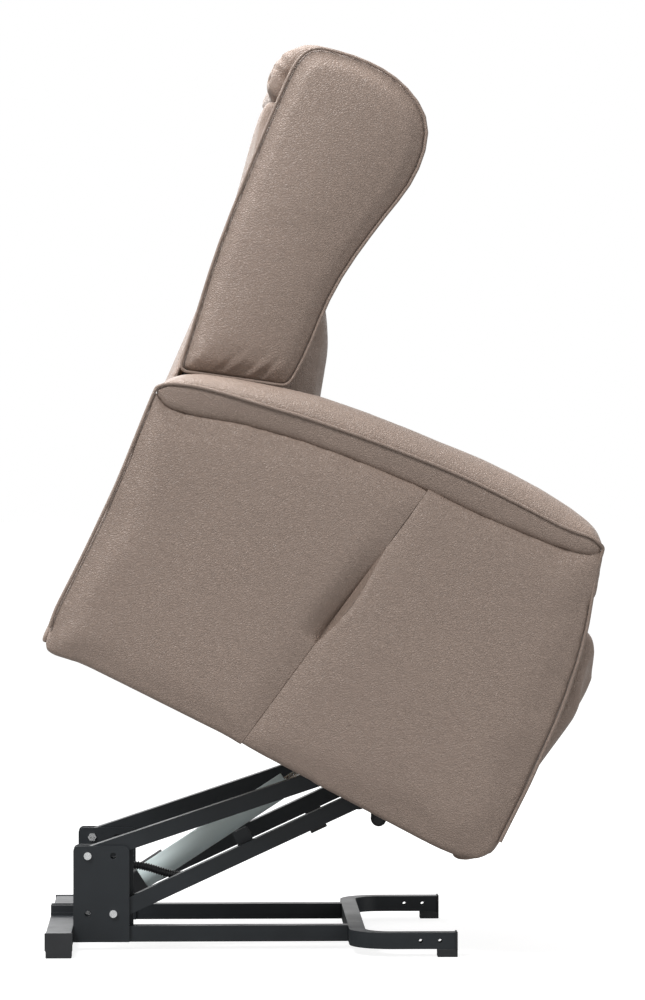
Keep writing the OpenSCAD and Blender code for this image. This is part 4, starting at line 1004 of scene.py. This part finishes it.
def buffer_caps():
    """Dark plastic caps pressed over the bolt heads of the two rubber buffers."""
    shell = bmesh.new()
    sideways = Matrix.Rotation(radians(90), 3, "X")
    for side in (-1, 1):
        for radius, end in ((0.0074, 0.0044), (0.0058, 0.0056)):
            made = bmesh.ops.create_cone(shell, cap_ends=True, segments=32, radius1=radius,
                                         radius2=radius, depth=end)["verts"]
            bmesh.ops.rotate(shell, verts=made, cent=(0, 0, 0), matrix=sideways)
            bmesh.ops.translate(shell, verts=made,
                                vec=(BUFFER_X, side*(BUFFER_HEAD_Y + end/2), BUFFER_Z))
    piece = piece_from("buffer_bolt_caps", shell, FINISH_OF["black_plastic"])
    piece.data.set_sharp_from_angle(angle=radians(40))
    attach(piece, "chair")


buffer_caps()

for node in ("rear_cross_tube", "side_rail_right", "side_rail_left", "front_fork", "upright_right",
             "upright_left", "lower_link_right", "lower_link_left", "upper_link_right",
             "upper_link_left", "end_caps", "carriage_side_right", "carriage_side_left"):
    softened(node)


# Floor, backdrop and light

def white_to(tree, *kinds):
    """1 for the kinds of ray that see plain white, 0 for the light that falls on the chair."""
    seen = tree.nodes.new("ShaderNodeLightPath")
    white = seen.outputs[kinds[0]]
    for kind in kinds[1:]:
        white = joined(tree, "ShaderNodeMath", (white, seen.outputs[kind]), operation="MAXIMUM")
    return white


def studio():
    floor = bmesh.new()
    bmesh.ops.create_grid(floor, x_segments=1, y_segments=1, size=30.0)
    finish = Finish("pale_floor", (0.32, 0.32, 0.32), 0.9)
    tree = finish.tree
    plain = finish.shader.outputs[0]
    glow = finish.add("ShaderNodeEmission", Color=(1, 1, 1, 1), Strength=0.86).outputs[0]
    bright = joined(tree, "ShaderNodeAddShader", (plain, glow))
    mix = joined(tree, "ShaderNodeMixShader", (white_to(tree, "Is Camera Ray"), plain, bright))
    tree.links.new(mix, tree.nodes["Material Output"].inputs[0])
    piece_from("studio_floor", floor, finish.material, smooth=False)

    world = bpy.data.worlds.new("studio")
    scene.world = world
    world.use_nodes = True
    tree = world.node_tree
    air = tree.nodes["Background"]
    white = tree.nodes.new("ShaderNodeBackground")
    for light, strength in ((air, 0.32), (white, 1.0)):
        light.inputs["Color"].default_value = (1, 1, 1, 1)
        light.inputs["Strength"].default_value = strength
    seen = white_to(tree, "Is Camera Ray", "Is Glossy Ray", "Is Transmission Ray")
    mix = joined(tree, "ShaderNodeMixShader", (seen, air.outputs[0], white.outputs[0]))
    tree.links.new(mix, tree.nodes["World Output"].inputs[0])

    for name, place, aim, size, power in (
            ("key", (-2.6, -2.8, 4.6), (0, 0, 0.8), 1.5, 218.0),
            ("top", (-0.9, 0.3, 4.6), (0, 0, 0.7), 2.0, 215.0),
            ("fill", (3.8, -2.8, 1.4), (0, 0, 0.7), 2.4, 40.0),
            ("back", (-1.0, 4.4, 2.8), (0, 0, 0.8), 2.6, 50.0)):
        lamp = bpy.data.lights.new(name, "AREA")
        lamp.energy = power
        lamp.size = size
        light = bpy.data.objects.new(name, lamp)
        light.location = place
        light.rotation_euler = (Vector(aim) - Vector(place)).to_track_quat("-Z", "Y").to_euler()
        scene.collection.objects.link(light)


studio()
scene.view_settings.view_transform = "Standard"
